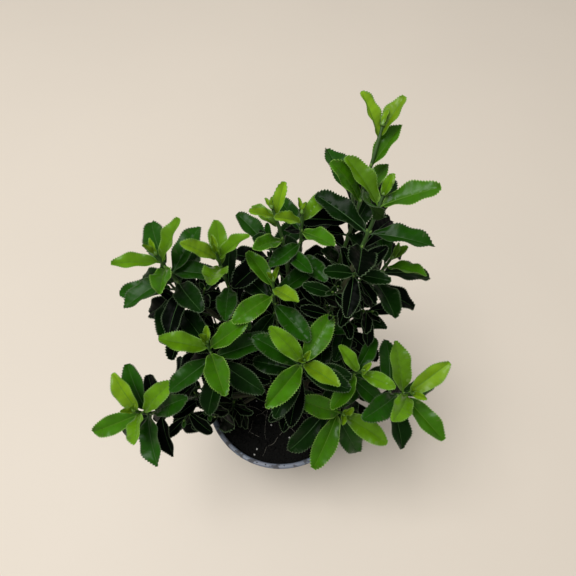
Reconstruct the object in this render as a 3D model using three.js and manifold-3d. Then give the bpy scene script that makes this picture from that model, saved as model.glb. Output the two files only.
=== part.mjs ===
// A young evergreen spindle shrub in a round nursery pot: stems from the compost, boughs, and leafy shoots.
// Millimetres, +Z up. The origin is the centre of the pot's flat underside. Seen from -Y, +X is to the right.

import * as THREE from 'three';
import { mergeVertices } from 'three/addons/utils/BufferGeometryUtils.js';
import Module from 'manifold-3d';

const wasm = await Module();
wasm.setup();

// Clearance between neighbouring solids, and the distance under which two corners count as one
const GAP = 0.3;
const SAME_CORNER = 1e-4;

// Pot: thin moulded plastic, tapered, with a stepped band and a rolled lip
const POT = {
  height: 80,
  footRadius: 31,
  shoulderRadius: 41.4,
  lipRadius: 45,
  bandHeight: 9,
  bandStep: 1.8,
  lipDepth: 2.6,
  lipWidth: 2.6,
  lipRound: 0.9,
  edge: 1,
  wall: 1.2,
  floor: 1.8,
  segments: 40,
};

// Drain holes: a ring of round holes through the pot's floor
const DRAIN = { count: 6, radius: 3.5, circle: 20, segments: 12 };

// Compost: fills the pot, level where the stems stand and lower at the wall
const COMPOST = { top: 76.5, levelRadius: 26, slopeRadius: 34, slopeDrop: 0.3, edgeDrop: 1.2, segments: 36 };

// Stems: each rises from the compost at its foot and ends at its top
const STEM = { footRadius: 2.3, flare: 0.9, flareShare: 0.22, topRadius: 1.6, lift: 0.5, steps: 6, sides: 8 };
const STEMS = {
  left_front: { foot: [-9, -2], top: [-16, -6, 92] },
  left: { foot: [-9, 5], top: [-15, 5, 98] },
  back_left: { foot: [-4, 12], top: [-9, 15, 102] },
  back: { foot: [3, 14], top: [3, 19, 106] },
  back_right: { foot: [11, 10], top: [15, 13, 108] },
  right: { foot: [14, 3], top: [19, 3, 98] },
  front_right: { foot: [9, -5], top: [12, -9, 95] },
};

// Boughs and twigs: one tapering route runs from the stem to the growing tip of each shoot
const BOUGH = { footRadius: 1.35, tipRadius: 1.0, sides: 6, stepLength: 14, shortest: 24 };
const TWIG = { footRadius: 1.0, tipRadius: 0.65, sides: 4, stepLength: 12, bare: 4 };
const ROUTE = { points: 61, leaveLift: 0.3, handle: 0.35 };

// Leaves sit in opposite pairs, each pair turned a quarter round from the last. The lists run back from the
// tip: distance from the pair before, angle from the twig, share of the full length, bend along the blade.
const PAIR = {
  spacing: [1.2, 3.6, 5.5, 7, 8, 8.5, 9, 9],
  spread: [20, 54, 70, 78, 84, 88, 92, 96],
  size: [0.36, 0.84, 1, 1, 1, 0.96, 0.92, 0.9],
  bend: [8, 16, 22, 26, 30, 32, 34, 36],
  turn: 90,
};
const LEAF = {
  halfWidth: 0.215,
  stalkShare: 0.12,
  stalkHalfWidth: 0.6,
  rootHalfWidth: 0.3,
  rootThickness: 0.4,
  widest: 1.1,
  bluntness: 0.75,
  fold: 18,
  thickness: 0.7,
  stations: [0.36, 0.8],
  lightPull: 0.6,
};

// Chance in the growth: sideways swing, change of spread and change of length of each leaf
const CHANCE = { azimuth: 16, spread: 10, size: 0.16, seed: 7919 };

// Room kept round a leaf, and the changes that are tried before a leaf without room is left off
const ROOM = {
  leaf: 1.4,
  kin: 0.9,
  limb: 1.4,
  bark: 0.4,
  lip: 1.4,
  stalk: 0.35,
  end: 0.98,
  rows: 13,
  columns: 7,
};
const TRIES = [[0, 0], [12, 0], [-12, 0], [0, -10], [0, 10], [24, -6], [-24, -6], [14, 14], [-14, 14]];

// Shoots: stem and place on it, growing tip, azimuth of the first full pair, pairs, full leaf length, opening
// and spacing as shares of the usual, lean of the tip from upright, and where it leans if not straight out.
const SHOOTS = [
  { name: 'spire', stem: 'back_right', at: 1, tip: [39, 54, 235], az: 5, pairs: 6, leaf: 20,
    open: 0.32, gap: 2, lean: 46, toward: 72, turn: 12 },
  { name: 'spire_side', stem: 'back_right', at: 0.72, tip: [40, 34, 220], az: 158, pairs: 5, leaf: 26,
    open: 0.82, gap: 0.9, lean: 42, toward: 65 },
  { name: 'back_right', stem: 'back_right', at: 0.88, tip: [31, 48, 208], az: 115, pairs: 7, leaf: 31,
    open: 1, gap: 0.9, lean: 25, toward: 110, turn: 140 },
  { name: 'right_upper', stem: 'back_right', at: 0.5, tip: [49, 27, 187], az: 108, pairs: 5, leaf: 27,
    open: 0.9, gap: 0.7, lean: 36, toward: 40, turn: 80 },
  { name: 'back_tip', stem: 'back', at: 0.92, tip: [-2, 36, 210], az: 54, pairs: 6, leaf: 17,
    open: 0.75, gap: 0.9, lean: 30, toward: 130 },
  { name: 'back_fork', stem: 'back', at: 1, tip: [10, 35, 208], az: 38, pairs: 7, leaf: 19,
    open: 0.9, gap: 0.9, lean: 15, toward: 90 },
  { name: 'back_inner', stem: 'back', at: 0.76, tip: [-5, 43, 178], az: 145, pairs: 6, leaf: 27,
    open: 1, gap: 0.9, lean: 20, toward: 120 },
  { name: 'middle_back', stem: 'back', at: 0.6, tip: [-2, 17, 185], az: 129, pairs: 7, leaf: 23,
    open: 1.05, gap: 0.9, lean: 15, toward: 90 },
  { name: 'back_left_tip', stem: 'back_left', at: 0.86, tip: [-51, 25, 193], az: 8, pairs: 6, leaf: 25,
    open: 0.9, gap: 0.65, lean: 24, toward: 140, turn: 106 },
  { name: 'back_left', stem: 'back_left', at: 1, tip: [-26, 27, 192], az: 5, pairs: 7, leaf: 23,
    open: 0.75, gap: 0.9, lean: 14, toward: 110 },
  { name: 'middle_left', stem: 'back_left', at: 0.66, tip: [-23, 14, 156], az: 137, pairs: 6, leaf: 23,
    open: 1, gap: 0.9, lean: 12 },
  { name: 'left_upper', stem: 'left', at: 1, tip: [-53, 29, 162], az: 180, pairs: 6, leaf: 31,
    open: 1.1, gap: 0.7, lean: 25, toward: 150 },
  { name: 'left_inner', stem: 'left', at: 0.8, tip: [-31, -4, 168], az: 8, pairs: 7, leaf: 27,
    open: 1, gap: 0.65, lean: 18, toward: 100, turn: 104 },
  { name: 'left_low', stem: 'left', at: 0.6, tip: [-49, 17, 125], az: 5, pairs: 5, leaf: 24,
    open: 1, gap: 0.9, lean: 30 },
  { name: 'left_front', stem: 'left_front', at: 1, tip: [-66, -28, 144], az: 124, pairs: 7, leaf: 25,
    open: 0.9, gap: 0.5, lean: 8, toward: 205, turn: 86 },
  { name: 'left_front_low', stem: 'left_front', at: 0.8, tip: [-49, -12, 113], az: 90, pairs: 5, leaf: 26,
    open: 1.1, gap: 0.8, lean: 40 },
  { name: 'front_left_low', stem: 'left_front', at: 0.55, tip: [-36, -20, 99], az: 190, pairs: 2, leaf: 32,
    open: 1.15, gap: 0.8, lean: 30, toward: 200, turn: 0 },
  { name: 'middle_front', stem: 'front_right', at: 1, tip: [11, -14, 172], az: 140, pairs: 7, leaf: 25,
    open: 0.9, gap: 0.6, lean: 10, toward: 300, turn: 96 },
  { name: 'right_front_tip', stem: 'front_right', at: 0.84, tip: [61, -21, 148], az: 44, pairs: 6, leaf: 27,
    open: 0.95, gap: 0.65, lean: 14, toward: 300, turn: 78 },
  { name: 'front_right', stem: 'front_right', at: 0.66, tip: [31, -27, 132], az: 154, pairs: 5, leaf: 29,
    open: 1.15, gap: 0.7, lean: 24, toward: 280 },
  { name: 'front_low', stem: 'front_right', at: 0.45, tip: [6, -15, 112], az: 225, pairs: 3, leaf: 19,
    open: 1.1, gap: 0.8, lean: 15, turn: 20 },
  { name: 'front_right_low', stem: 'front_right', at: 0.5, tip: [42, -14, 116], az: 45, pairs: 5, leaf: 25,
    open: 1.1, gap: 0.8, lean: 15 },
  { name: 'right_inner', stem: 'right', at: 1, tip: [31, 18, 168], az: 110, pairs: 6, leaf: 21,
    open: 1, gap: 0.9, lean: 10 },
  { name: 'right_middle', stem: 'right', at: 0.84, tip: [36, 17, 156], az: 155, pairs: 6, leaf: 24,
    open: 1.15, gap: 0.9, lean: 15 },
  { name: 'middle_right', stem: 'right', at: 0.7, tip: [23, 7, 158], az: 178, pairs: 5, leaf: 19,
    open: 1.1, gap: 0.9, lean: 8 },
  { name: 'right_front', stem: 'right', at: 0.56, tip: [38, -13, 156], az: 146, pairs: 6, leaf: 22,
    open: 1.05, gap: 0.9, lean: 15 },
  { name: 'middle_low', stem: 'back_left', at: 0.5, tip: [-7, 18, 138], az: 90, pairs: 4, leaf: 12,
    open: 0.9, gap: 1, lean: 5 },
];

// Finishes
const FINISH = {
  pot: new THREE.MeshStandardMaterial({ color: 0x8f99a8, roughness: 0.55, metalness: 0 }),
  compost: new THREE.MeshStandardMaterial({ color: 0x14110f, roughness: 1, metalness: 0 }),
  bark: new THREE.MeshStandardMaterial({ color: 0x5d5a35, roughness: 0.8, metalness: 0 }),
  foliage: new THREE.MeshStandardMaterial({ color: 0x3f7a24, roughness: 0.4, metalness: 0 }),
};

const UP = new THREE.Vector3(0, 0, 1);
const LIGHT = new THREE.Vector3(0, -0.3, 1);
const vec = (p) => new THREE.Vector3(...p);
const rad = THREE.MathUtils.degToRad;

/** Two vectors added in the given shares. */
const sum = (a, shareA, b, shareB) => a.clone().multiplyScalar(shareA).addScaledVector(b, shareB);

/** A repeatable stream of numbers from 0 to 1. */
function draws(seed) {
  let state = seed >>> 0;
  return () => {
    state = (Math.imul(state, 1664525) + 1013904223) >>> 0;
    return state / 4294967296;
  };
}

/** A closed solid from a geometry: doubled corners merged and empty triangles dropped. */
function solid(geometry) {
  geometry.deleteAttribute('normal');
  geometry.deleteAttribute('uv');
  const merged = mergeVertices(geometry, SAME_CORNER);
  const corners = merged.index.array;
  const kept = [];
  for (let i = 0; i < corners.length; i += 3) {
    const [a, b, c] = [corners[i], corners[i + 1], corners[i + 2]];
    if (a !== b && b !== c && c !== a) kept.push(a, b, c);
  }
  const vertProperties = new Float32Array(merged.attributes.position.array);
  return new wasm.Manifold(new wasm.Mesh({ numProp: 3, vertProperties, triVerts: new Uint32Array(kept) }));
}

/** A closed solid from corner points and triangles of their numbers. */
function solidFromCorners(points, triangles) {
  const geometry = new THREE.BufferGeometry();
  geometry.setAttribute('position', new THREE.Float32BufferAttribute(points.flatMap((p) => p.toArray()), 3));
  geometry.setIndex(triangles);
  return solid(geometry);
}

/** A solid of revolution about Z from its profile of [radius, height] pairs. */
function turned(profile, segments) {
  const geometry = new THREE.LatheGeometry(profile.map(([r, z]) => new THREE.Vector2(r, z)), segments);
  geometry.rotateX(Math.PI / 2);
  return solid(geometry);
}

/** The largest separate body of a solid, without any hollow sealed inside it. */
function largest(body) {
  return body.decompose().reduce((best, piece) => (piece.volume() > best.volume() ? piece : best));
}

/** A solid with other spaces cut away, and only its main body kept. */
function cutClear(body, spaces) {
  return largest(spaces.reduce((rest, space) => rest.subtract(space), body));
}

/** A named mesh from a solid. */
function meshOf(name, body, material) {
  const { vertProperties, triVerts } = body.getMesh();
  const geometry = new THREE.BufferGeometry();
  geometry.setAttribute('position', new THREE.BufferAttribute(vertProperties, 3));
  geometry.setIndex(new THREE.BufferAttribute(triVerts, 1));
  geometry.computeVertexNormals();
  const mesh = new THREE.Mesh(geometry, material);
  mesh.name = name;
  return mesh;
}

/** Radius of the pot's inner wall at a height below its band. */
function innerWall(z) {
  const shoulder = POT.height - POT.bandHeight;
  return THREE.MathUtils.mapLinear(z, 0, shoulder, POT.footRadius, POT.shoulderRadius) - POT.wall;
}

/** Points of a rounded profile corner from one angle to another, in degrees. */
function corner([r, z], radius, from, to, steps) {
  return Array.from({ length: steps + 1 }, (_, i) => {
    const angle = rad(THREE.MathUtils.lerp(from, to, i / steps));
    return [r + radius * Math.cos(angle), z + radius * Math.sin(angle)];
  });
}

/** The pot: tapered wall, stepped band, rolled lip and a flat floor with drain holes. */
function pot() {
  const shoulder = POT.height - POT.bandHeight;
  const bandRadius = POT.shoulderRadius + POT.bandStep;
  const lipMiddle = POT.lipRadius - POT.lipRound;
  const lipTop = POT.height - POT.lipRound;
  const lipFoot = POT.height - POT.lipDepth + POT.lipRound;
  const innerRound = (POT.lipWidth - POT.lipRound) / 2;
  const body = turned([
    [0, 0],
    ...corner([POT.footRadius - POT.edge, POT.edge], POT.edge, -90, 0, 1),
    [POT.shoulderRadius, shoulder],
    [bandRadius, shoulder + POT.edge],
    ...corner([lipMiddle, lipFoot], POT.lipRound, -90, 0, 1),
    ...corner([lipMiddle, lipTop], POT.lipRound, 0, 90, 2),
    ...corner([POT.lipRadius - POT.lipWidth + innerRound, POT.height - innerRound], innerRound, 90, 180, 1),
    [bandRadius - POT.wall, shoulder + POT.edge],
    [innerWall(shoulder - POT.edge), shoulder - POT.edge],
    [innerWall(POT.floor), POT.floor],
    [0, POT.floor],
  ], POT.segments);
  return drainHoles().reduce((rest, hole) => rest.subtract(hole), body);
}

/** The plugs that cut the drain holes. */
function drainHoles() {
  return Array.from({ length: DRAIN.count }, (_, i) => {
    const angle = (i * 2 * Math.PI) / DRAIN.count;
    const plug = new THREE.CylinderGeometry(DRAIN.radius, DRAIN.radius, 3 * POT.floor, DRAIN.segments);
    plug.rotateX(Math.PI / 2);
    plug.translate(DRAIN.circle * Math.cos(angle), DRAIN.circle * Math.sin(angle), POT.floor / 2);
    return solid(plug);
  });
}

/** The compost, clear of the pot all round. */
function compost() {
  const shoulder = POT.height - POT.bandHeight;
  const bandInner = POT.shoulderRadius + POT.bandStep - POT.wall - GAP;
  const floor = POT.floor + GAP;
  return turned([
    [0, floor],
    [innerWall(floor) - GAP, floor],
    [innerWall(shoulder - POT.edge) - GAP, shoulder - POT.edge],
    [bandInner, shoulder + POT.edge + 2 * GAP],
    [bandInner, COMPOST.top - COMPOST.edgeDrop],
    [COMPOST.slopeRadius, COMPOST.top - COMPOST.slopeDrop],
    [COMPOST.levelRadius, COMPOST.top],
    [0, COMPOST.top],
  ], COMPOST.segments);
}

/** Direction of a route at one of its points. */
function wayAt(route, i) {
  const before = route[Math.max(i - 1, 0)];
  const after = route[Math.min(i + 1, route.length - 1)];
  return after.clone().sub(before).normalize();
}

/** A round limb along a route, with flat cut ends and a radius for each share of its length. */
function limb(route, radiusAt, sides) {
  const points = [route[0], route.at(-1)];
  const triangles = [];
  let across = new THREE.Vector3(1, 0, 0);
  route.forEach((centre, i) => {
    const way = wayAt(route, i);
    across = across.clone().addScaledVector(way, -across.dot(way)).normalize();
    const over = way.clone().cross(across);
    const radius = radiusAt(i / (route.length - 1));
    for (let s = 0; s < sides; s += 1) {
      const angle = (s * 2 * Math.PI) / sides;
      points.push(centre.clone()
        .addScaledVector(across, radius * Math.cos(angle))
        .addScaledVector(over, radius * Math.sin(angle)));
    }
  });
  const corner = (ring, s) => 2 + ring * sides + (s % sides);
  const last = route.length - 1;
  for (let s = 0; s < sides; s += 1) {
    triangles.push(0, corner(0, s + 1), corner(0, s), 1, corner(last, s), corner(last, s + 1));
    for (let ring = 0; ring < last; ring += 1) {
      const [a, b] = [corner(ring, s), corner(ring, s + 1)];
      const [c, d] = [corner(ring + 1, s + 1), corner(ring + 1, s)];
      triangles.push(a, b, c, a, c, d);
    }
  }
  return solidFromCorners(points, triangles);
}

/** The space round a limb that its neighbours keep out of. */
function surround(route, radiusAt, sides) {
  const longer = [...route];
  longer[0] = route[0].clone().addScaledVector(wayAt(route, 0), -GAP);
  longer[route.length - 1] = route.at(-1).clone().addScaledVector(wayAt(route, route.length - 1), GAP);
  return limb(longer, (t) => radiusAt(t) + GAP, sides);
}

/** Part of a route between two distances along it, in even steps of about the given length. */
function stretch(route, from, to, stepLength) {
  const count = Math.max(2, Math.round((to - from) / stepLength));
  return Array.from({ length: count + 1 }, (_, i) => pointAlong(route, from + ((to - from) * i) / count));
}

/** Length of a route. */
function lengthOf(route) {
  return route.slice(1).reduce((total, point, i) => total + point.distanceTo(route[i]), 0);
}

/** The point at a distance along a route of evenly spaced points. */
function pointAlong(route, distance) {
  const place = THREE.MathUtils.clamp((distance / lengthOf(route)) * (route.length - 1), 0, route.length - 1);
  const i = Math.min(Math.floor(place), route.length - 2);
  return route[i].clone().lerp(route[i + 1], place - i);
}

/** The direction at a distance along a route. */
function wayAlong(route, distance) {
  const place = Math.round((distance / lengthOf(route)) * (route.length - 1));
  return wayAt(route, THREE.MathUtils.clamp(place, 0, route.length - 1));
}

/** The route of a stem: it leaves the compost upright and bends to its top. */
function stemRoute({ foot, top }) {
  const start = vec([...foot, COMPOST.top + GAP]);
  const end = vec(top);
  const lift = start.clone().addScaledVector(UP, STEM.lift * (end.z - start.z));
  return new THREE.QuadraticBezierCurve3(start, lift, end).getSpacedPoints(ROUTE.points - 1);
}

/** Radius of a stem: flared where it meets the compost, then an even taper. */
function stemRadius(t) {
  const flare = STEM.flare * Math.max(0, 1 - t / STEM.flareShare) ** 2;
  return THREE.MathUtils.lerp(STEM.footRadius, STEM.topRadius, t) + flare;
}

/** The route of a shoot from its stem to its growing tip. */
function shootRoute(shoot, stem) {
  const start = pointAlong(stem, shoot.at * lengthOf(stem));
  const tip = vec(shoot.tip);
  const out = tip.clone().sub(start);
  const span = out.length();
  const leave = out.clone().addScaledVector(UP, ROUTE.leaveLift * span).normalize();
  const sideways = shoot.toward === undefined
    ? new THREE.Vector3(out.x, out.y, 0).normalize()
    : new THREE.Vector3(Math.cos(rad(shoot.toward)), Math.sin(rad(shoot.toward)), 0);
  const arrive = UP.clone().multiplyScalar(Math.cos(rad(shoot.lean)))
    .addScaledVector(sideways, Math.sin(rad(shoot.lean)));
  const first = start.clone().addScaledVector(leave, ROUTE.handle * span);
  const second = tip.clone().addScaledVector(arrive, -ROUTE.handle * span);
  return new THREE.CubicBezierCurve3(start, first, second, tip).getSpacedPoints(ROUTE.points - 1);
}

/** Length of a shoot's leafy end: all its pairs and a little bare twig below them. */
function leafyLength(shoot) {
  return backOf(shoot, shoot.pairs - 1) + TWIG.bare;
}

/** Half the width of a blade at a share of the way from its stalk to its tip, as a share of the widest. */
function bladeShape(s) {
  return Math.sin(Math.PI * Math.min(Math.max(s, 0), 1) ** LEAF.widest) ** LEAF.bluntness;
}

/** Middle of a blade and its upward side at a share of the leaf's length, along its bend. */
function spineAt(leaf, t) {
  const bend = rad(leaf.bend);
  const along = (leaf.size * Math.sin(bend * t)) / bend;
  const down = (leaf.size * (1 - Math.cos(bend * t))) / bend;
  const middle = leaf.foot.clone().addScaledVector(leaf.way, along).addScaledVector(leaf.face, -down);
  const face = sum(leaf.face, Math.cos(bend * t), leaf.way, Math.sin(bend * t));
  return { middle, face };
}

/** A point of a leaf's blade: t along it, and v across it from -1 at one margin to 1 at the other. */
function bladePoint(leaf, t, v) {
  const { middle, face } = spineAt(leaf, t);
  const s = (t - LEAF.stalkShare) / (1 - LEAF.stalkShare);
  const reach = v * leaf.size * LEAF.halfWidth * bladeShape(s);
  return middle.addScaledVector(leaf.side, reach * Math.cos(rad(LEAF.fold)))
    .addScaledVector(face, Math.abs(reach) * Math.sin(rad(LEAF.fold)));
}

/** A leaf as a closed solid: a stalk, then a thin blade with sharp margins over a keel along its midrib. */
function leafSolid(leaf) {
  const points = [];
  const addSection = (t, half, thickness) => {
    const { middle, face } = spineAt(leaf, t);
    points.push(middle.clone().addScaledVector(leaf.side, half));
    points.push(middle.clone().addScaledVector(leaf.side, -half));
    points.push(middle.clone().addScaledVector(face, -thickness));
  };
  addSection(0, LEAF.rootHalfWidth, LEAF.rootThickness);
  addSection(LEAF.stalkShare, LEAF.stalkHalfWidth, LEAF.thickness);
  for (const s of LEAF.stations) {
    const half = leaf.size * LEAF.halfWidth * bladeShape(s);
    addSection(THREE.MathUtils.lerp(LEAF.stalkShare, 1, s), half, LEAF.thickness);
  }
  const tip = points.push(spineAt(leaf, 1).middle) - 1;
  const triangles = [0, 2, 1];
  const last = 1 + LEAF.stations.length;
  for (let e = 0; e < 3; e += 1) {
    const f = (e + 1) % 3;
    for (let ring = 0; ring < last; ring += 1) {
      const [a, b, c, d] = [3 * ring + e, 3 * ring + f, 3 * ring + 3 + f, 3 * ring + 3 + e];
      triangles.push(a, b, c, a, c, d);
    }
    triangles.push(3 * last + e, 3 * last + f, tip);
  }
  return solidFromCorners(points, triangles);
}

/** A leaf from its foot, azimuth, angle from the twig, length and bend, with its face turned to the light. */
function leafAt(foot, way, azimuth, spread, size, bend) {
  const flat = new THREE.Vector3(Math.cos(rad(azimuth)), Math.sin(rad(azimuth)), 0);
  const radial = flat.addScaledVector(way, -flat.dot(way)).normalize();
  const out = sum(way, Math.cos(rad(spread)), radial, Math.sin(rad(spread)));
  const inner = sum(way, Math.sin(rad(spread)), radial, -Math.cos(rad(spread)));
  const lit = sum(LIGHT, 1, out, -LIGHT.dot(out)).normalize();
  const face = inner.lerp(lit, LEAF.lightPull).normalize();
  return { foot, way: out, face, side: face.clone().cross(out), size, bend };
}

/** Points spread over a blade, for finding what is near it. */
function scatter(leaf) {
  const points = [];
  for (let row = 1; row <= ROOM.rows; row += 1) {
    for (let column = 0; column < ROOM.columns; column += 1) {
      const v = (2 * column) / (ROOM.columns - 1) - 1;
      points.push(bladePoint(leaf, Math.min(row / ROOM.rows, ROOM.end), v));
    }
  }
  return points;
}

/** Distance from a point to the nearest part of a route. */
function distanceToRoute(point, route) {
  let nearest = Infinity;
  const line = new THREE.Line3();
  const foot = new THREE.Vector3();
  for (let i = 1; i < route.length; i += 1) {
    line.set(route[i - 1], route[i]).closestPointToPoint(point, true, foot);
    nearest = Math.min(nearest, foot.distanceTo(point));
  }
  return nearest;
}

/** The plant as it grows: its limbs, and the leaves that have found room. */
const plant = { limbs: [], leaves: [] };

/** Whether a point is clear of the pot and the compost. */
function clearOfPot(point) {
  const radius = Math.hypot(point.x, point.y);
  const beside = radius > POT.lipRadius + ROOM.lip;
  const above = point.z > POT.height + ROOM.lip;
  const inside = radius < COMPOST.levelRadius && point.z > COMPOST.top + ROOM.lip;
  return beside || above || inside;
}

/** Whether a leaf has room among the leaves, limbs and pot that are there already. */
function hasRoom(leaf, owner) {
  const points = scatter(leaf);
  const middle = points[Math.floor(points.length / 2)];
  const blade = points.slice(Math.ceil(ROOM.rows * ROOM.stalk) * ROOM.columns);
  if (!points.every(clearOfPot)) return false;
  for (const other of plant.leaves) {
    const kin = other.owner === owner;
    if (middle.distanceTo(other.middle) > leaf.size + other.leaf.size) continue;
    const [mine, theirs] = kin ? [blade, other.blade] : [points, other.points];
    const room = kin ? ROOM.kin : ROOM.leaf;
    if (mine.some((p) => theirs.some((q) => p.distanceToSquared(q) < room * room))) return false;
  }
  for (const { route, radius, owners } of plant.limbs) {
    const mine = owners.includes(owner) ? blade : points;
    const room = Math.max(ROOM.limb, radius + ROOM.bark);
    if (middle.distanceTo(route[Math.floor(route.length / 2)]) > leaf.size + lengthOf(route)) continue;
    if (mine.some((p) => distanceToRoute(p, route) < room)) return false;
  }
  plant.leaves.push({ leaf, owner, points, blade, middle });
  return true;
}

/** Grows one leaf, trying a few turns and angles until it has room. Returns null where there is no room. */
function growLeaf(foot, way, azimuth, spread, size, bend, owner) {
  for (const [turn, open] of TRIES) {
    const leaf = leafAt(foot, way, azimuth + turn, spread + open, size, bend);
    if (hasRoom(leaf, owner)) return leaf;
  }
  return null;
}

/** Grows the pair of leaves that is k pairs back from a shoot's tip. */
function growPair(shoot, k) {
  const distance = shoot.length - backOf(shoot, k);
  const foot = pointAlong(shoot.route, distance);
  const way = wayAlong(shoot.route, distance);
  const azimuth = shoot.az + (shoot.turn ?? PAIR.turn) * (k - 1);
  return [0, 180].map((opposite) => {
    const swing = (shoot.random() - 0.5) * CHANCE.azimuth;
    const size = shoot.leaf * PAIR.size[k] * (1 + (shoot.random() - 0.5) * CHANCE.size);
    const spread = PAIR.spread[k] * shoot.open + (shoot.random() - 0.5) * CHANCE.spread;
    return growLeaf(foot, way, azimuth + opposite + swing, spread, size, PAIR.bend[k], shoot.name);
  }).filter((leaf) => leaf !== null);
}

/** Distance of a pair of leaves back from the growing tip. The two youngest are as close on all shoots. */
function backOf(shoot, k) {
  const steps = PAIR.spacing.slice(0, k + 1).map((step, i) => (i < 2 ? step : shoot.gap * step));
  return steps.reduce((total, step) => total + step, 0);
}

/** Sets out the routes of all stems and shoots. */
function layOut() {
  const stems = Object.entries(STEMS).map(([name, stem]) => ({ name, route: stemRoute(stem) }));
  for (const { name, route } of stems) {
    const owners = SHOOTS.filter((shoot) => shoot.stem === name).map((shoot) => shoot.name);
    plant.limbs.push({ route, radius: STEM.footRadius, owners });
  }
  const shoots = SHOOTS.map((shoot, i) => {
    const route = shootRoute(shoot, stems.find(({ name }) => name === shoot.stem).route);
    const length = lengthOf(route);
    const bare = Math.max(length - leafyLength(shoot), 0);
    plant.limbs.push({ route, radius: TWIG.footRadius, owners: [shoot.name] });
    const random = draws(CHANCE.seed * (i + 1));
    return { ...shoot, route, length, bare: bare < BOUGH.shortest ? 0 : bare, random };
  });
  return { stems, shoots };
}

/** Grows all leaves, the youngest pairs of every shoot first. */
function growLeaves(shoots) {
  const leaves = Object.fromEntries(shoots.map(({ name }) => [name, []]));
  const most = Math.max(...shoots.map(({ pairs }) => pairs));
  for (let k = 0; k < most; k += 1) {
    for (const shoot of shoots.filter(({ pairs }) => pairs > k)) {
      if (backOf(shoot, k) < shoot.length - shoot.bare - GAP) leaves[shoot.name].push(...growPair(shoot, k));
    }
  }
  return leaves;
}

/** Builds every solid of the plant and its pot. */
function build() {
  const group = new THREE.Group();
  group.add(meshOf('pot', pot(), FINISH.pot), meshOf('compost', compost(), FINISH.compost));
  const { stems, shoots } = layOut();
  const spaces = [];
  for (const { name, route } of stems) {
    const short = stretch(route, 0, lengthOf(route), lengthOf(route) / STEM.steps);
    group.add(meshOf(`stem_${name}`, limb(short, stemRadius, STEM.sides), FINISH.bark));
    spaces.push(surround(short, stemRadius, STEM.sides));
  }
  for (const shoot of shoots.filter(({ bare }) => bare > 0)) {
    const radiusAt = (t) => THREE.MathUtils.lerp(BOUGH.footRadius, BOUGH.tipRadius, t);
    const part = stretch(shoot.route, 0, shoot.bare, BOUGH.stepLength);
    const body = cutClear(limb(part, radiusAt, BOUGH.sides), spaces);
    group.add(meshOf(`bough_${shoot.name}`, body, FINISH.bark));
    spaces.push(surround(part, radiusAt, BOUGH.sides));
  }
  const leaves = growLeaves(shoots);
  for (const shoot of shoots) {
    const radiusAt = (t) => THREE.MathUtils.lerp(TWIG.footRadius, TWIG.tipRadius, t);
    const from = shoot.bare > 0 ? shoot.bare + GAP : 0;
    const part = stretch(shoot.route, from, shoot.length, TWIG.stepLength);
    const twig = cutClear(limb(part, radiusAt, TWIG.sides), spaces);
    const body = leaves[shoot.name].reduce((whole, leaf) => whole.add(leafSolid(leaf)), twig);
    group.add(meshOf(`foliage_${shoot.name}`, largest(body), FINISH.foliage));
  }
  return group;
}

export default build();
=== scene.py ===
"""A young evergreen spindle shrub in a grey-blue nursery pot of black compost.

The plant grows by one seeded rule, in millimetres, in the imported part's frame: +Z up, the origin at the
centre of the pot's flat underside, +X to the right and -Y towards the viewer. Meshes are made in metres.
"""

import logging
import math
from dataclasses import dataclass, field
from enum import Enum
from typing import NamedTuple

import bmesh
import bpy
import numpy as np
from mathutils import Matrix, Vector, noise


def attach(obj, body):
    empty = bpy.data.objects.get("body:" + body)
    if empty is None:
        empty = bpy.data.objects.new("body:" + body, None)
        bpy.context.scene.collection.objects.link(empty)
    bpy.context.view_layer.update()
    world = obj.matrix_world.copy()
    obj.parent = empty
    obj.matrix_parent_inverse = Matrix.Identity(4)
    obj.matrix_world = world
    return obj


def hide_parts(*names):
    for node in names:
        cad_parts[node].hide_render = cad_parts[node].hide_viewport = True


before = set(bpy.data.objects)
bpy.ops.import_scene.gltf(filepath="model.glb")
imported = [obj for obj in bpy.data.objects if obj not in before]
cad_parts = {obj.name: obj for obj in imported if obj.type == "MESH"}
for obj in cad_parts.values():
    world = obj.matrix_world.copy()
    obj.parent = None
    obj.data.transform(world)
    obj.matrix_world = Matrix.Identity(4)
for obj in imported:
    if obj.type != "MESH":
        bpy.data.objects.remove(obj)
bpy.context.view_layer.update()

LOG = logging.getLogger("spindle")
MM = 0.001
TAU = 2 * math.pi
UP = np.array([0.0, 0.0, 1.0])
BODY = "root"
Colour = tuple[float, float, float]
Socket = bpy.types.NodeSocket
Faces = list[list[int]]


def vec(*numbers: float) -> np.ndarray:
    """A point or direction in the round."""
    return np.array(numbers, float)


def unit(v: np.ndarray) -> np.ndarray:
    """Directions of length one, along the last axis."""
    return v / np.maximum(np.linalg.norm(v, axis=-1, keepdims=True), 1e-12)


def square_to(axis: np.ndarray, v: np.ndarray) -> np.ndarray:
    """The direction nearest to v that is square to an axis."""
    return unit(v - axis * (v @ axis))


def flat_turn(degrees: float) -> np.ndarray:
    """The level direction at an azimuth."""
    return vec(math.cos(math.radians(degrees)), math.sin(math.radians(degrees)), 0)


def smooth(low: float, high: float, x: np.ndarray) -> np.ndarray:
    """A smooth step from 0 at low to 1 at high."""
    t = np.clip((x - low) / (high - low), 0, 1)
    return t * t * (3 - 2 * t)


def times(share: float, colour: Colour) -> Colour:
    """A colour made darker or lighter."""
    return tuple(share * c for c in colour)


class Draws:
    """A repeatable stream of numbers from 0 to 1."""

    factor = 1664525
    step = 1013904223
    size = 2**32

    def __init__(self, seed: int) -> None:
        """Starts the stream."""
        self.state = seed

    def next(self) -> float:
        """The next number."""
        self.state = (self.state * self.factor + self.step) % self.size
        return self.state / self.size

    def spread(self, width: float) -> float:
        """A number within half the width of zero."""
        return (self.next() - 0.5) * width


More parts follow.
